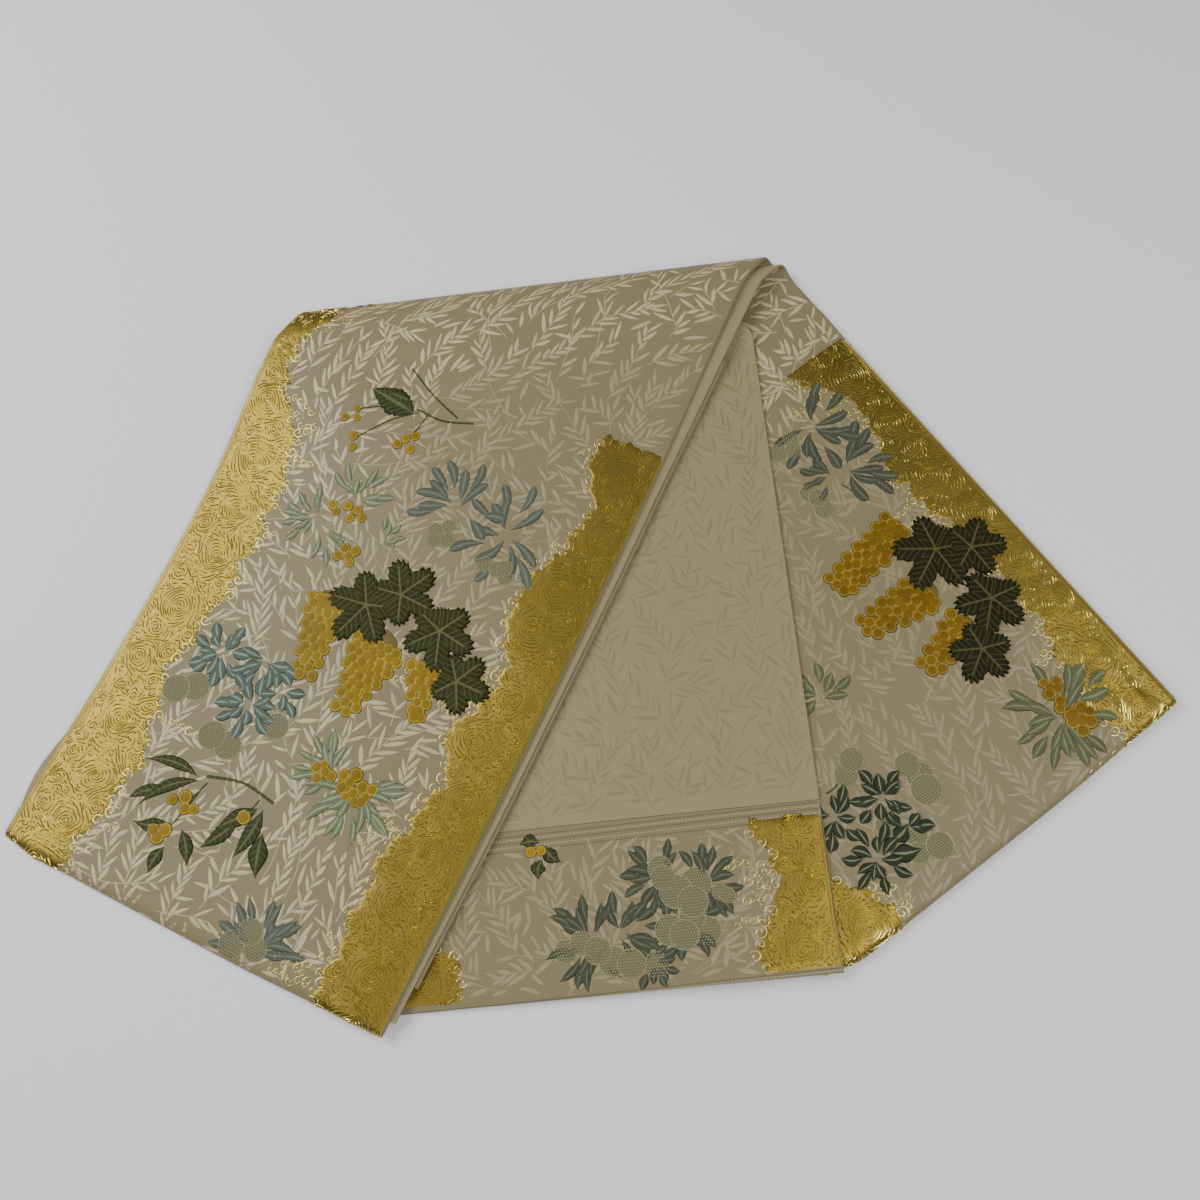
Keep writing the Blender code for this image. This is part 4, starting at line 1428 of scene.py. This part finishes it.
LEFT_STALKS = [
    (1.9, 120, 405, 165, 412, 4), (1.6, 100, 434, 152, 411, 2), (1.3, 120, 403, 75, 385, -4),
    (1.3, 122, 403, 88, 365, -4), (1.3, 130, 406, 126, 382, 3), (2.4, 112, 94, 166, 98, -5),
    (1.3, 115, 90, 108, 72, 2), (1.3, 114, 88, 106, 50, 3), (1.3, 156, 96, 152, 83, 1),
]
RIGHT_STEEL_FANS = [
    (240, 310, 190, 420, 15, 24, 40, 8), (240, 268, 270, 400, 10, 24, 40, 8),
    (228, 270, 100, 210, 6, 12, 24, 6),
]
RIGHT_SAGE_FANS = [
    (116, 145, -20, 200, 9, 18, 27, 8), (240, 36, 20, 320, 24, 24, 42, 8), (252, 38, -20, 25, 3, 28, 36, 11),
]
RIGHT_DARK_FANS = [
    (70, 74, 20, 320, 11, 14, 24, 8), (104, 66, 0, 340, 13, 12, 24, 8), (76, 36, 10, 330, 13, 14, 26, 8),
    (104, 40, -60, 100, 5, 12, 22, 8),
]
RIGHT_BROAD_DARK_FANS = [(82, 36, -30, 15, 2, 24, 28, 14)]
RIGHT_BERRY_HEAPS = [(247, 54, 7, 6, 5, 4, 5), (243, 38, 5, 7, 3, 4, 5), (249, 24, 9, 8, 7, 4, 6)]
RIGHT_FRUIT_HEAPS = [
    (220, 308, 12, 5, 3, 6, 8), (208, 262, 6, 10, 3, 6, 8), (98, 93, 9, 8, 2, 7, 9.5),
    (132, 62, 5, 12, 3, 7, 12),
    (110, 24, 10, 8, 3, 7, 10), (94, 50, 1, 1, 1, 6, 6),
]
RIGHT_VINE = [(251, 180, 205, 36), (272, 166, 330, 27), (258, 128, 220, 30), (228, 104, 210, 27)]
RIGHT_BUNCHES = [(240, 210, 175, 200, 25, 20), (225, 160, 170, 165, 30, 15), (230, 125, 190, 115, 25, 15)]
RIGHT_STALKS = [(1.3, 76, 90, 92, 94, 2), (1.3, 92, 75, 114, 68, 2), (1.3, 230, 260, 236, 244, 1)]
END_GREEN_FANS = [(118, 104, 190, 310, 3, 16, 26, 13)]
END_SPIKY_FANS = [
    (195, 72, 60, 300, 16, 18, 29, 7), (224, 66, -80, 120, 14, 20, 29, 7), (210, 42, 170, 360, 12, 18, 28, 7),
    (145, 36, 50, 300, 18, 22, 34, 7), (165, 38, -70, 110, 11, 20, 30, 7), (185, 18, 170, 410, 11, 14, 20, 6),
]
END_FRUIT_HEAPS = [
    (217, 62, 12, 8, 3, 10, 12.5), (197, 72, 3, 9, 2, 8, 9), (236, 58, 4, 3, 2, 5, 6),
    (212, 38, 15, 8, 4, 8, 11),
    (140, 33, 18, 5, 3, 8, 10), (164, 22, 8, 8, 2, 9, 11.5), (188, 16, 1, 1, 1, 9, 9),
]
END_BERRY_HEAPS = [(111, 99, 5, 1, 2, 4, 4.5)]

LEAF_PIECES = (  # each with its fans, its shape, its silk, and how it is raised
    ("left_toothed_leaves", LEFT_TOOTHED_FANS, "toothed", "green", {}),
    ("left_broad_leaves", LEFT_BROAD_FANS, "broad", "green", {"height": 0.65}),
    ("left_steel_leaves", LEFT_STEEL_FANS, "blade", "steel", {}),
    ("left_sage_leaves", LEFT_SAGE_FANS, "lance", "sage", {}),
    ("left_teal_leaves", LEFT_TEAL_FANS, "petal", "teal", {"height": 0.65}),
    ("left_spiky_leaves", LEFT_SPIKY_FANS, "lance", "steel", {}),
    ("right_steel_leaves", RIGHT_STEEL_FANS, "blade", "grey_steel", {}),
    ("right_sage_leaves", RIGHT_SAGE_FANS, "lance", "dull_sage", {}),
    ("right_dark_leaves", RIGHT_DARK_FANS, "lance", "dark_teal", {"above": 0.9}),
    ("right_toothed_leaves", RIGHT_BROAD_DARK_FANS, "toothed", "dark_teal", {"above": 0.8}),
    ("end_green_leaves", END_GREEN_FANS, "broad", "green", {}),
    ("end_spiky_leaves", END_SPIKY_FANS, "lance", "spiky", {"height": 0.4}),
)
ROUND_FIGURES = (  # of each leg: its heaps of berries, its bunches, and its heaps of fruit
    ("left", LEFT_BERRY_HEAPS, LEFT_BUNCHES, LEFT_FRUIT_HEAPS),
    ("right", RIGHT_BERRY_HEAPS, RIGHT_BUNCHES, RIGHT_FRUIT_HEAPS),
    ("end", END_BERRY_HEAPS, [], END_FRUIT_HEAPS),
)

# The gold border's width at the bays and heads along it, in steps of 5 mm: places along the leg, with widths.
LEFT_GOLD_LEFT = [
    (-20, 45), (80, 60), (150, 40), (210, 50), (290, 55), (340, 50), (400, 15), (450, 40), (474, 30),
]
LEFT_GOLD_RIGHT = [
    (-20, 50), (100, 55), (160, 40), (200, 55), (240, 35), (300, 55), (380, 30), (430, 50), (446, 45),
]
RIGHT_GOLD_RIGHT = [(-14, 45), (50, 45), (90, 35), (190, 35), (240, 45), (300, 25), (356, 55)]
RIGHT_GOLD_LEFT = [(-14, 60), (20, 60), (60, 20), (90, 10)]
END_GOLD_RIGHT = [(0, 50), (30, 50), (60, 30), (106, 50)]
END_GOLD_LEFT = [(0, 55), (30, 50), (70, 10), (106, 10)]
GOLD_BORDERS = (  # each with its seed, its leg, its side, and from where to where it runs
    (1, "left", 0, (-18, 474), LEFT_GOLD_LEFT),
    (2, "left", 1, (-18, 446), LEFT_GOLD_RIGHT),
    (3, "right", 1, (-13, 355), RIGHT_GOLD_RIGHT),
    (4, "right", 0, (-13, 66), RIGHT_GOLD_LEFT),
    (5, "end", 1, (4, 106), END_GOLD_RIGHT),
    (6, "end", 0, (4, 72), END_GOLD_LEFT),
)


def fan_rows(fans, seed):
    """Leaves set out in fans, in two tiers: short ones near each heart, and long ones from farther out."""
    rng = np.random.default_rng(seed)
    rows = []
    for x, y, first, last, count, short, long, breadth in fans:
        ways = np.linspace(first, last, count) if count > 1 else np.array([first])
        for number in rng.permutation(count):
            outer = number % 2
            way = math.radians(ways[number] + rng.uniform(-9, 9))
            aim = np.array([math.cos(way), math.sin(way)])
            aside = aside_of(aim) * rng.uniform(-0.10, 0.10) * long
            begin = rng.uniform(0.34, 0.46) if outer else rng.uniform(0.06, 0.16)
            start = np.array([x, y]) + aside + aim * long * begin
            reach = rng.uniform(0.9, 1.0) * long if outer else rng.uniform(short, 0.5 * (short + long))
            tip = np.array([x, y]) + 1.8 * aside + aim * reach
            rows.append((start, tip, breadth * rng.uniform(0.80, 1.08), rng.uniform(-0.13, 0.13)))
    return rows


def heap_discs(heaps, seed):
    """Discs heaped by rule: each goes where it is farthest from those already set, out of a few chances."""
    rng = np.random.default_rng(seed)
    discs = []
    for x, y, across, up, count, small, large in heaps:
        placed = []
        for _ in range(count):
            size = rng.uniform(small, large)
            turn, out = rng.uniform(0, 2 * math.pi, 24), np.sqrt(rng.uniform(0, 1, 24))
            tries = np.column_stack([x + across * out * np.cos(turn), y + up * out * np.sin(turn)])
            room = [
                min((math.dist(spot, (a, b)) - 0.75 * c for a, b, c in placed), default=0) for spot in tries
            ]
            placed.append((*tries[int(np.argmax(room))], size))
        discs += placed
    return discs


def draw_bunch(bunch, size, seed):
    """Places of the grapes in a tapering bunch, the lower ones over the upper ones."""
    top, tip = np.array(bunch[:2], float), np.array(bunch[2:4], float)
    length = np.linalg.norm(tip - top)
    along = (tip - top) / length
    aside = aside_of(along)
    rng = np.random.default_rng(seed)
    places = []
    for row, way in enumerate(np.arange(0.0, length + 0.4 * size, size * 1.22)):
        half = max(mix(bunch[4], bunch[5], smooth(way / length)) / 2 - 0.7 * size, 0.6 * size)
        count = max(2, int(2 * half / (1.36 * size)) + 1)
        step = 2 * half / (count - 1)
        for offset in np.linspace(-half, half, count) + (step / 4 if row % 2 else -step / 4):
            middle = top + along * (way + rng.uniform(-0.5, 0.5)) + aside * (offset + rng.uniform(-0.5, 0.5))
            scale = 1.12 * size * rng.uniform(0.9, 1.1)
            places.append((*middle, rng.uniform(0, 6.28), scale, scale, 0.9 + 0.02 * row, 0))
    return places


GRAPE_RADIUS, DOT_PITCH = 4.3, 1.9


def disc_places(discs, height):
    return [(x, y, 0.7 * number, size, size, height, 0) for number, (x, y, size) in enumerate(discs)]


def dot_places(discs, pitch, height):
    """Small dots in a net over each round fruit; a later fruit covers the ones under it."""
    places = []
    for number, (x, y, size) in enumerate(discs):
        step = np.arange(-size, size, pitch)
        for row, v in enumerate(step):
            for u in step + (pitch / 2 if row % 2 else 0.0):
                if math.hypot(u, v) > size * 0.92:
                    continue
                hidden = any(math.hypot(x + u - a, y + v - b) < c for a, b, c in discs[number + 1 :])
                if not hidden:
                    places.append((x + u, y + v, 0.0, pitch * 0.36, pitch * 0.30, height, 0))
    return places


def draw_leaves(fans, shape, height=0.55, above=0.0):
    """Leaves in fans, the later ones over the earlier ones."""
    rows = fan_rows(fans, 70)
    figures = Figures()
    rng = np.random.default_rng(len(rows))
    for number, (start, tip, breadth, bend) in enumerate(rows):
        over = above + 0.08 * (number % 3) + 0.25 * number / len(rows)
        add_leaf(figures, start, tip, breadth, shape, bend, height, rng.uniform(0.3, 0.7), over)
    return figures


def add_round(figures, middle, size, rings, lifts, sides, grain_from, edge):
    """A disc of rings round its middle."""
    spoke = circle(np.arange(sides) * 2 * math.pi / sides)
    points = middle + (rings[:, None] * size)[..., None] * spoke
    faces = grid_faces(len(rings), sides, closed=True)
    figures.add(points, lifts[:, None], faces, points - grain_from, edge)


def draw_shade_under_grapes(bunches):
    """Painted shade between the grapes of each bunch: dark discs laid under them, where shade falls."""
    figures = Figures()
    rings, lifts = np.array([0.0, 0.6, 0.96, 1.0]), np.array([0.30, 0.30, 0.28, BURIED])
    for bunch in bunches:
        top, tip = np.array(bunch[:2], float), np.array(bunch[2:4], float)
        for step, share in enumerate(np.linspace(0.06, 0.90, 9)):
            size = max(mix(bunch[4], bunch[5], smooth(share)) / 2 - 3.4, 2.6)
            add_round(figures, mix(top, tip, share), size, rings, lifts + 0.012 * step, 20, top, 0.9)
    return figures


def draw_fruit(discs):
    """Round fruits as low domes with a fine raised thread round each."""
    figures = Figures()
    rings = np.array([0.0, 0.45, 0.75, 0.90, 0.94, 0.97, 1.0])
    lifts = np.array([0.55, 0.53, 0.49, 0.44, 0.56, 0.54, BURIED])
    for number, (x, y, size) in enumerate(discs):
        over = np.where(rings < 0.99, 0.07 * (number % 4), 0.0)
        add_round(figures, np.array([x, y]), size, rings, lifts + over, 30, (x, y), rings[:, None])
    return figures


# ---------------------------------------- the stage


def make_floor():
    bpy.ops.mesh.primitive_plane_add(size=9.0, location=(0, 0, -0.0002))
    floor = bpy.context.object
    floor.name = "floor"
    material = new_material("matt_white_paper_floor", "#E7E8EA", 0.9)[0]
    floor.data.materials.append(material)


def make_camera():
    """At the viewing angle: the camera stands over the legs and looks steeply down, rolled a little."""
    pitch, roll, turn = math.radians(73.30), math.radians(-11.83), math.radians(6.04)
    ahead = Vector((0, math.cos(pitch), -math.sin(pitch)))
    up = Vector((0, math.sin(pitch), math.cos(pitch)))
    right = Vector((1, 0, 0))
    image_right = math.cos(roll) * right + math.sin(roll) * up
    image_up = -math.sin(roll) * right + math.cos(roll) * up
    turned = Matrix.Rotation(turn, 3, "Z")
    axes = Matrix([turned @ image_right, turned @ image_up, turned @ -ahead]).transposed()
    data = bpy.data.cameras.new("camera")
    data.sensor_width = data.lens = 36
    camera = bpy.data.objects.new("camera", data)
    camera.matrix_world = Matrix.Translation((0.04965, -0.23839, 0.8466)) @ axes.to_4x4()
    bpy.context.scene.collection.objects.link(camera)
    bpy.context.scene.camera = camera


def add_light(name, place, aim, size, power, tint):
    data = bpy.data.lights.new(name, "AREA")
    data.shape, data.size, data.size_y = "RECTANGLE", *size
    data.energy, data.color = power, tint
    light = bpy.data.objects.new(name, data)
    way = Vector(aim) - Vector(place)
    light.matrix_world = Matrix.Translation(place) @ way.to_track_quat("-Z", "Y").to_matrix().to_4x4()
    bpy.context.scene.collection.objects.link(light)


def make_lights():
    add_light("window", (-1.15, 0.55, 1.35), (0, 0, 0), (1.3, 1.1), 30, (1.0, 0.99, 0.97))
    add_light("front_window", (0.25, -0.9, 1.7), (0, 0, 0), (1.6, 1.0), 11, (1.0, 0.985, 0.96))
    add_light("side_window", (1.0, -0.35, 1.5), (0, 0, 0), (1.2, 1.0), 14, (1.0, 0.99, 0.97))
    world = bpy.data.worlds.new("room")
    world.use_nodes = True
    background = world.node_tree.nodes["Background"]
    background.inputs["Color"].default_value = colour("#E6E9EE")
    background.inputs["Strength"].default_value = 0.24
    bpy.context.scene.world = world


# ---------------------------------------- the sash


FRONT, BACK = (0.0, CLOTH), (CLOTH + SEAM_GAP, LAYER)  # each cloth's two faces, in from the layer's outside


Laid = namedtuple("Laid", "cloth piece node_name rests_on held pieces_on")  # a cloth with what is woven on it


def declare(piece, slot, *nodes):
    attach(piece, "root")
    if nodes:
        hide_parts(*nodes)


def flat_size(cloth):
    length = np.linalg.norm(np.diff(cloth.points, axis=0), axis=2).mean(axis=1).sum()
    return BAND_WIDTH, float(length)


def edge_lines(cloth, leg):
    """The cloth's left and right edges as functions: the place across a leg, from the place along it."""
    corner, wide, long = LEGS[leg]
    lines = []
    for edge in (cloth.left, cloth.right):
        local = (edge - corner) / MM
        along, place = local @ long, local @ wide
        order = np.argsort(along)
        lines.append(lambda y, along=along[order], place=place[order]: np.interp(y, along, place))
    return lines


def outside_gold(borders, edges):
    """Says which points of a leg, in millimetres, lie off its gold borders."""

    def free(points):
        out = (points[:, 0] - edges[0](points[:, 1]), edges[1](points[:, 1]) - points[:, 0])
        clear = (out[0] > 1.2) & (out[1] > 1.2)
        for side, span, reach in borders:
            within = (points[:, 1] > span[0] - 2) & (points[:, 1] < span[1] + 1)
            clear &= ~(within & (out[side] < reach(points[:, 1]) + 0.5))
        return clear

    return free


def holds(cloth, leg, points, first, last):
    """Which points of a leg lie on the cloth, between two of its rows."""
    flat = on_leg(leg, points)
    inside = np.ones(len(flat), bool)
    for row, side in ((first, -1), (last, 1)):
        right, left = cloth.right[row], cloth.left[row]
        ahead = aside_of(left - right)
        ahead *= 1 if ahead @ (cloth.right[last] - cloth.right[first]) > 0 else -1
        inside &= side * ((flat - right) @ ahead) <= 0
    return inside


def add_cloths(front, back):
    """Makes every cloth, each named for its leg and its silk: the figured front, or the back."""
    cloths = {}

    def add(name, rows_at, faces, relief, outward, material, node_name, rests_on, fewer=(0, 1, 1)):
        cloth = Cloth(rows_at, *faces, relief, outward)
        piece = cloth_shell(name, cloth, material, outward, *fewer)
        cloths[name] = Laid(cloth, piece, node_name, rests_on, "folded", [])

    def layer(rows_at, number):
        return lambda inset: rows_at(number, inset)

    add("left_front", left_rows, FRONT, left_relief, 1, front, "left_front_cloth", ["left_second_back"])
    add(
        "left_back", left_rows, BACK, left_relief, 1, back, "left_back_cloth", ["left_second_back"],
        (0, 1, 3),
    )
    for number, word in ((1, "second"), (2, "third")):
        for faces, side, material in ((FRONT, "back", back), (BACK, "front", front)):
            name = f"left_{word}_{side}"
            rows_at = layer(under_left_rows, number)
            add(name, rows_at, faces, left_relief, 1, material, "left_inner_layers", [], (200, 3, 5))
            name = f"right_{word}_{side}"
            rows_at = layer(under_right_rows, number)
            add(name, rows_at, faces, None, 1, material, "right_inner_layers", [], (200, 3, 5))
    add("right_back", second_rows, FRONT, right_relief, 1, back, "right_back_cloth", [], (0, 1, 3))
    add(
        "right_front", second_rows, (LAYER, CLOTH + SEAM_GAP), right_relief, -1, front,
        "right_front_cloth", [],
    )
    add("end_back", end_back_rows, FRONT, end_relief, -1, back, "end_back_cloth", [])
    add("end_front", end_front_rows, FRONT, end_relief, 1, front, "end_front_cloth", [], (120, 4, 1))
    return cloths


def make_silks():
    """The silks of the leaves and stalks."""
    return {
        "green": figure_silk("dark_green_floss", "#343A20", "#6A6E48", "#20240E", veined=0.5),
        "steel": figure_silk("steel_blue_floss", "#565D51", "#767E6F", "#383E35"),
        "teal": figure_silk("teal_floss", "#55645A", "#93A598", "#222E25"),
        "sage": figure_silk("sage_floss", "#6E775C", "#AAB392", "#4A5239"),
        "dull_sage": figure_silk("dull_sage_floss", "#5B6144", "#888B6C", "#3C4029"),
        "grey_steel": figure_silk("grey_steel_floss", "#484D3E", "#6C6E5A", "#2E3125"),
        "dark_teal": figure_silk("dark_teal_floss", "#2C3524", "#8A8A6C", "#20281A", middle=0.8),
        "spiky": figure_silk("grey_green_floss", "#464B3A", "#6C705A", "#2A2D21"),
        "vine": figure_silk("vine_green_floss", "#2B2F10", "#6A6F45", "#151703", veined=0.40),
        "dark_vine": figure_silk("dark_vine_floss", "#1C1F06", "#5E5E38", "#0F1102", veined=0.45),
    }


def main():
    make_floor()
    make_camera()
    make_lights()
    front = woven_ground("figured_silk_ground", "#7D7354", "#746A4E")
    back = woven_ground("figured_silk_reverse", "#908461", "#827759")

    cloths = add_cloths(front, back)
    cloth_of = {"left": "left_front", "right": "right_front", "end": "end_front"}

    def finish_piece(piece, on):
        declare(piece, cloths[on].node_name)
        cloths[on].pieces_on.append(piece)

    def lay(figures, name, material):
        """Lays figures on the leg that their name begins with."""
        leg = name.split("_")[0]
        on = cloth_of[leg]
        finish_piece(figures.lay(name, leg, cloths[on].cloth, material), on)

    def set_on(name, material, stamps, places, seed, over=0.0):
        """Sets stamps out on the leg that their name begins with."""
        leg = name.split("_")[0]
        on = cloth_of[leg]
        finish_piece(set_out(name, leg, cloths[on].cloth, tree, material, stamps, places, seed, over), on)

    silks = make_silks()
    # Each ochre silk: its floss, its paler ring, and the painted shade at its rim.
    ochre = {
        "left": disc_silk("ochre_floss", "#7C640C", "#A48C2A", "#4E3C05"),
        "right": disc_silk("brown_ochre_floss", "#6C5208", "#927826", "#443204"),
        "end": disc_silk("bright_ochre_floss", "#94760E", "#B0962C", "#5A4506"),
    }
    pale = ("#68664A", "#68664A", "#A5A17C")
    fruit = figure_silk("pale_fruit_floss", *pale, pitch=1.6, veined=1.0, middle=0.0, rim_from=0.92)
    dots = new_material("pale_fruit_knots", "#A19D78", 0.5, Specular_IOR_Level=0.2)[0]
    # Each gilt silk: its polished metal colour, then the painted shade of its hollows and plate.
    gilt = gilt_silk("gilt_weave", "#EEDD7A", "#8A7636")
    gilt_thread = gilt_silk("gilt_thread", "#DDCC78", "#A08C46")
    # The front's satin leaves: the ground colour, then the painted sheen of their floats.
    sheen_painted_leaves = ground_leaf_silk("satin_leaves", "#807657", "#C8BB94")
    back_leaves = ground_leaf_silk("reverse_leaves", "#908461", "#756A4B")
    silver = new_material("marker_satin", "#A69D84", 0.4)[0]
    dark_thread = new_material("marker_thread", "#3C3A2C", 0.6)[0]
    # Painted shade: the dark silk laid under each bunch, where shade falls between the grapes.
    shade_under_grapes_silk = new_material("painted_shade_silk", "#5F4C12", 0.6)[0]

    tree = setting_out_tree()
    leaf_stamps = [leaf_stamp(f"slim_leaf_{k}", bend) for k, bend in enumerate((0.03, 0.08, -0.03, -0.08))]
    grape = disc_stamp("grape", (0.45, 0.72, 0.84, 1.0), (1.0, 0.92, 0.72, 0.62, -0.1), 12)
    dot = disc_stamp("dot", (0.6, 1.0), (1.0, 0.75, -0.6), 6)
    curls = [curl_stamp("curl_left", 1.25, 1), curl_stamp("curl_right", 1.25, -1)]

    borders = {}  # of each leg: the side that it is on, its span, and its width
    for seed, leg, side, span, table in GOLD_BORDERS:
        borders.setdefault(leg, []).append((side, span, gold_reach(table, seed)))
    edges = {leg: edge_lines(cloths[on].cloth, leg) for leg, on in cloth_of.items()}
    for number, leg in enumerate(cloth_of):
        places = []
        for side, span, reach in borders[leg]:
            figures = Figures()
            ragged = 1.0 if leg == "left" else 0.0
            add_gold(figures, side, edges[leg][side], span, reach, 11 + number * 2 + side, ragged)
            lay(figures, f"{leg}_gold_{('left', 'right')[side]}", gilt)
            places += curl_places(side, edges[leg][side], span, reach, 31 + number * 2 + side)
        set_on(f"{leg}_gold_curls", gilt_thread, curls, places, 5)

    def ground(name, leg, on, low, high, seed, material, wanted, fade):
        cloth = cloths[on].cloth
        leaves, stems = draw_sprigs(low, high, seed, wanted)
        piece = set_out(f"{name}_leaves", leg, cloth, tree, material, leaf_stamps, leaves, seed, fade=fade)
        finish_piece(piece, on)
        figures = Figures()
        for stem in stems:
            add_line(figures, stem[::2], STEM_BREADTH, STEM_RAISE, step=3.0)
        piece = figures.lay(f"{name}_stems", leg, cloth, material)
        add_values(piece.data, "fade", fade(np.vstack(figures.points)))
        finish_piece(piece, on)

    def left_painted_sheen(points):
        """Painted sheen: the leaves are painted lighter by the bottom fold and at the crest, where light
        catches their floats, and sink into the ground between.
        """
        up = on_leg("left", points)[:, 1]
        low = 1 - smooth((up + 0.34) / 0.12) * smooth((points[:, 0] - 70) / 90)
        return np.clip(0.30 + 0.55 * low + 0.60 * smooth((up + 0.085) / 0.05), 0, 1)

    free = {leg: outside_gold(borders[leg], edges[leg]) for leg in borders}

    def rows_of(on, leg, first, from_last):
        """Says which points of a leg lie on a cloth, between two of its rows."""
        cloth = cloths[on].cloth
        return lambda points: holds(cloth, leg, points, first, len(cloth.flat) - from_last)

    left_rows_hold = rows_of("left_front", "left", 4, 3)
    right_rows_hold = rows_of("right_front", "right", 18, 10)
    back_rows_hold = rows_of("end_back", "end", 2, 3)
    ground(
        "left_ground", "left", "left_front", (0, -18), (310, 700), 3, sheen_painted_leaves,
        lambda p: free["left"](p) & left_rows_hold(p),
        left_painted_sheen,
    )
    ground(
        "right_ground", "right", "right_front", (0, -14), (310, 520), 4, sheen_painted_leaves,
        lambda p: free["right"](p) & right_rows_hold(p),
        # Painted sheen: the leaves are painted lighter toward the roll, where light catches their floats.
        lambda p: 0.16 + 0.70 * smooth((p[:, 1] - 290) / 70),
    )
    ground(
        "end_back_ground", "end", "end_back", (0, 116), (310, 500), 5, back_leaves,
        lambda p: (p[:, 0] > 2) & (p[:, 0] < 308) & (p[:, 1] > 118) & back_rows_hold(p),
        lambda p: np.full(len(p), 0.8),
    )
    ground(
        "end_front_ground", "end", "end_front", (0, 4), (310, 104), 6, sheen_painted_leaves,
        lambda p: free["end"](p) & (p[:, 1] > 5) & (p[:, 1] < 100),
        lambda p: np.full(len(p), 0.25),
    )

    for name, fans, shape, silk, look in LEAF_PIECES:
        lay(draw_leaves(fans, shape, **look), name, silks[silk])

    for name, table, silk in (("left", LEFT_VINE, "vine"), ("right", RIGHT_VINE, "dark_vine")):
        figures = Figures()
        for number, (x, y, aim, size) in enumerate(table):
            add_vine_leaf(figures, np.array([x, y], float), aim, size, 1.25 + 0.15 * (number % 2))
        lay(figures, f"{name}_vine_leaves", silks[silk])
    for name, table, silk in (("left", LEFT_STALKS, "green"), ("right", RIGHT_STALKS, "dark_teal")):
        figures = Figures()
        for width, x0, y0, x1, y1, sag in table:
            add_line(figures, [(x0, y0), ((x0 + x1) / 2, (y0 + y1) / 2 - sag), (x1, y1)], width, 0.5)
        lay(figures, f"{name}_stalks", silks[silk])

    for leg, berries, bunches, fruits in ROUND_FIGURES:
        places = disc_places(heap_discs(berries, 21), 1.1)
        for number, bunch in enumerate(bunches):
            places += draw_bunch(bunch, GRAPE_RADIUS, number)
        # Painted shade under each bunch of grapes.
        if bunches:
            lay(draw_shade_under_grapes(bunches), f"{leg}_bunch_beds", shade_under_grapes_silk)
        set_on(f"{leg}_berries", ochre[leg], [grape], places, 8)
        discs = heap_discs(fruits, 22)
        lay(draw_fruit(discs), f"{leg}_pale_fruit", fruit)
        set_on(f"{leg}_fruit_dots", dots, [dot], dot_places(discs, DOT_PITCH, 0.28), 9, 0.62)

    def marker_rows(pitch, ups, *size):
        """Floats of thread in rows across the turned-back end, which all slope a little."""
        steps = np.arange(1.5, 309.0, pitch)
        return [(x, up - 0.012 * (310 - x), 0.0, *size, 0) for up in ups for x in steps]

    dash = dash_stamp("dash")
    threads = marker_rows(1.9, (3.4, 102.6, 108.2, 112.6), 1.3, 0.5, 0.25)
    set_on("end_marker_threads", dark_thread, [dash], threads, 2)
    set_on("end_marker_satin", silver, [dash], marker_rows(2.6, (1.8, 105.4, 110.4), 1.6, 0.7, 0.2), 2)

    for shape in [*leaf_stamps, grape, dot, dash, *curls]:
        bpy.data.objects.remove(shape)

    for name, (cloth, piece, node_name, rests_on, held, pieces_on) in cloths.items():
        declare(piece, node_name, node_name)
        width, length = flat_size(cloth)


main()
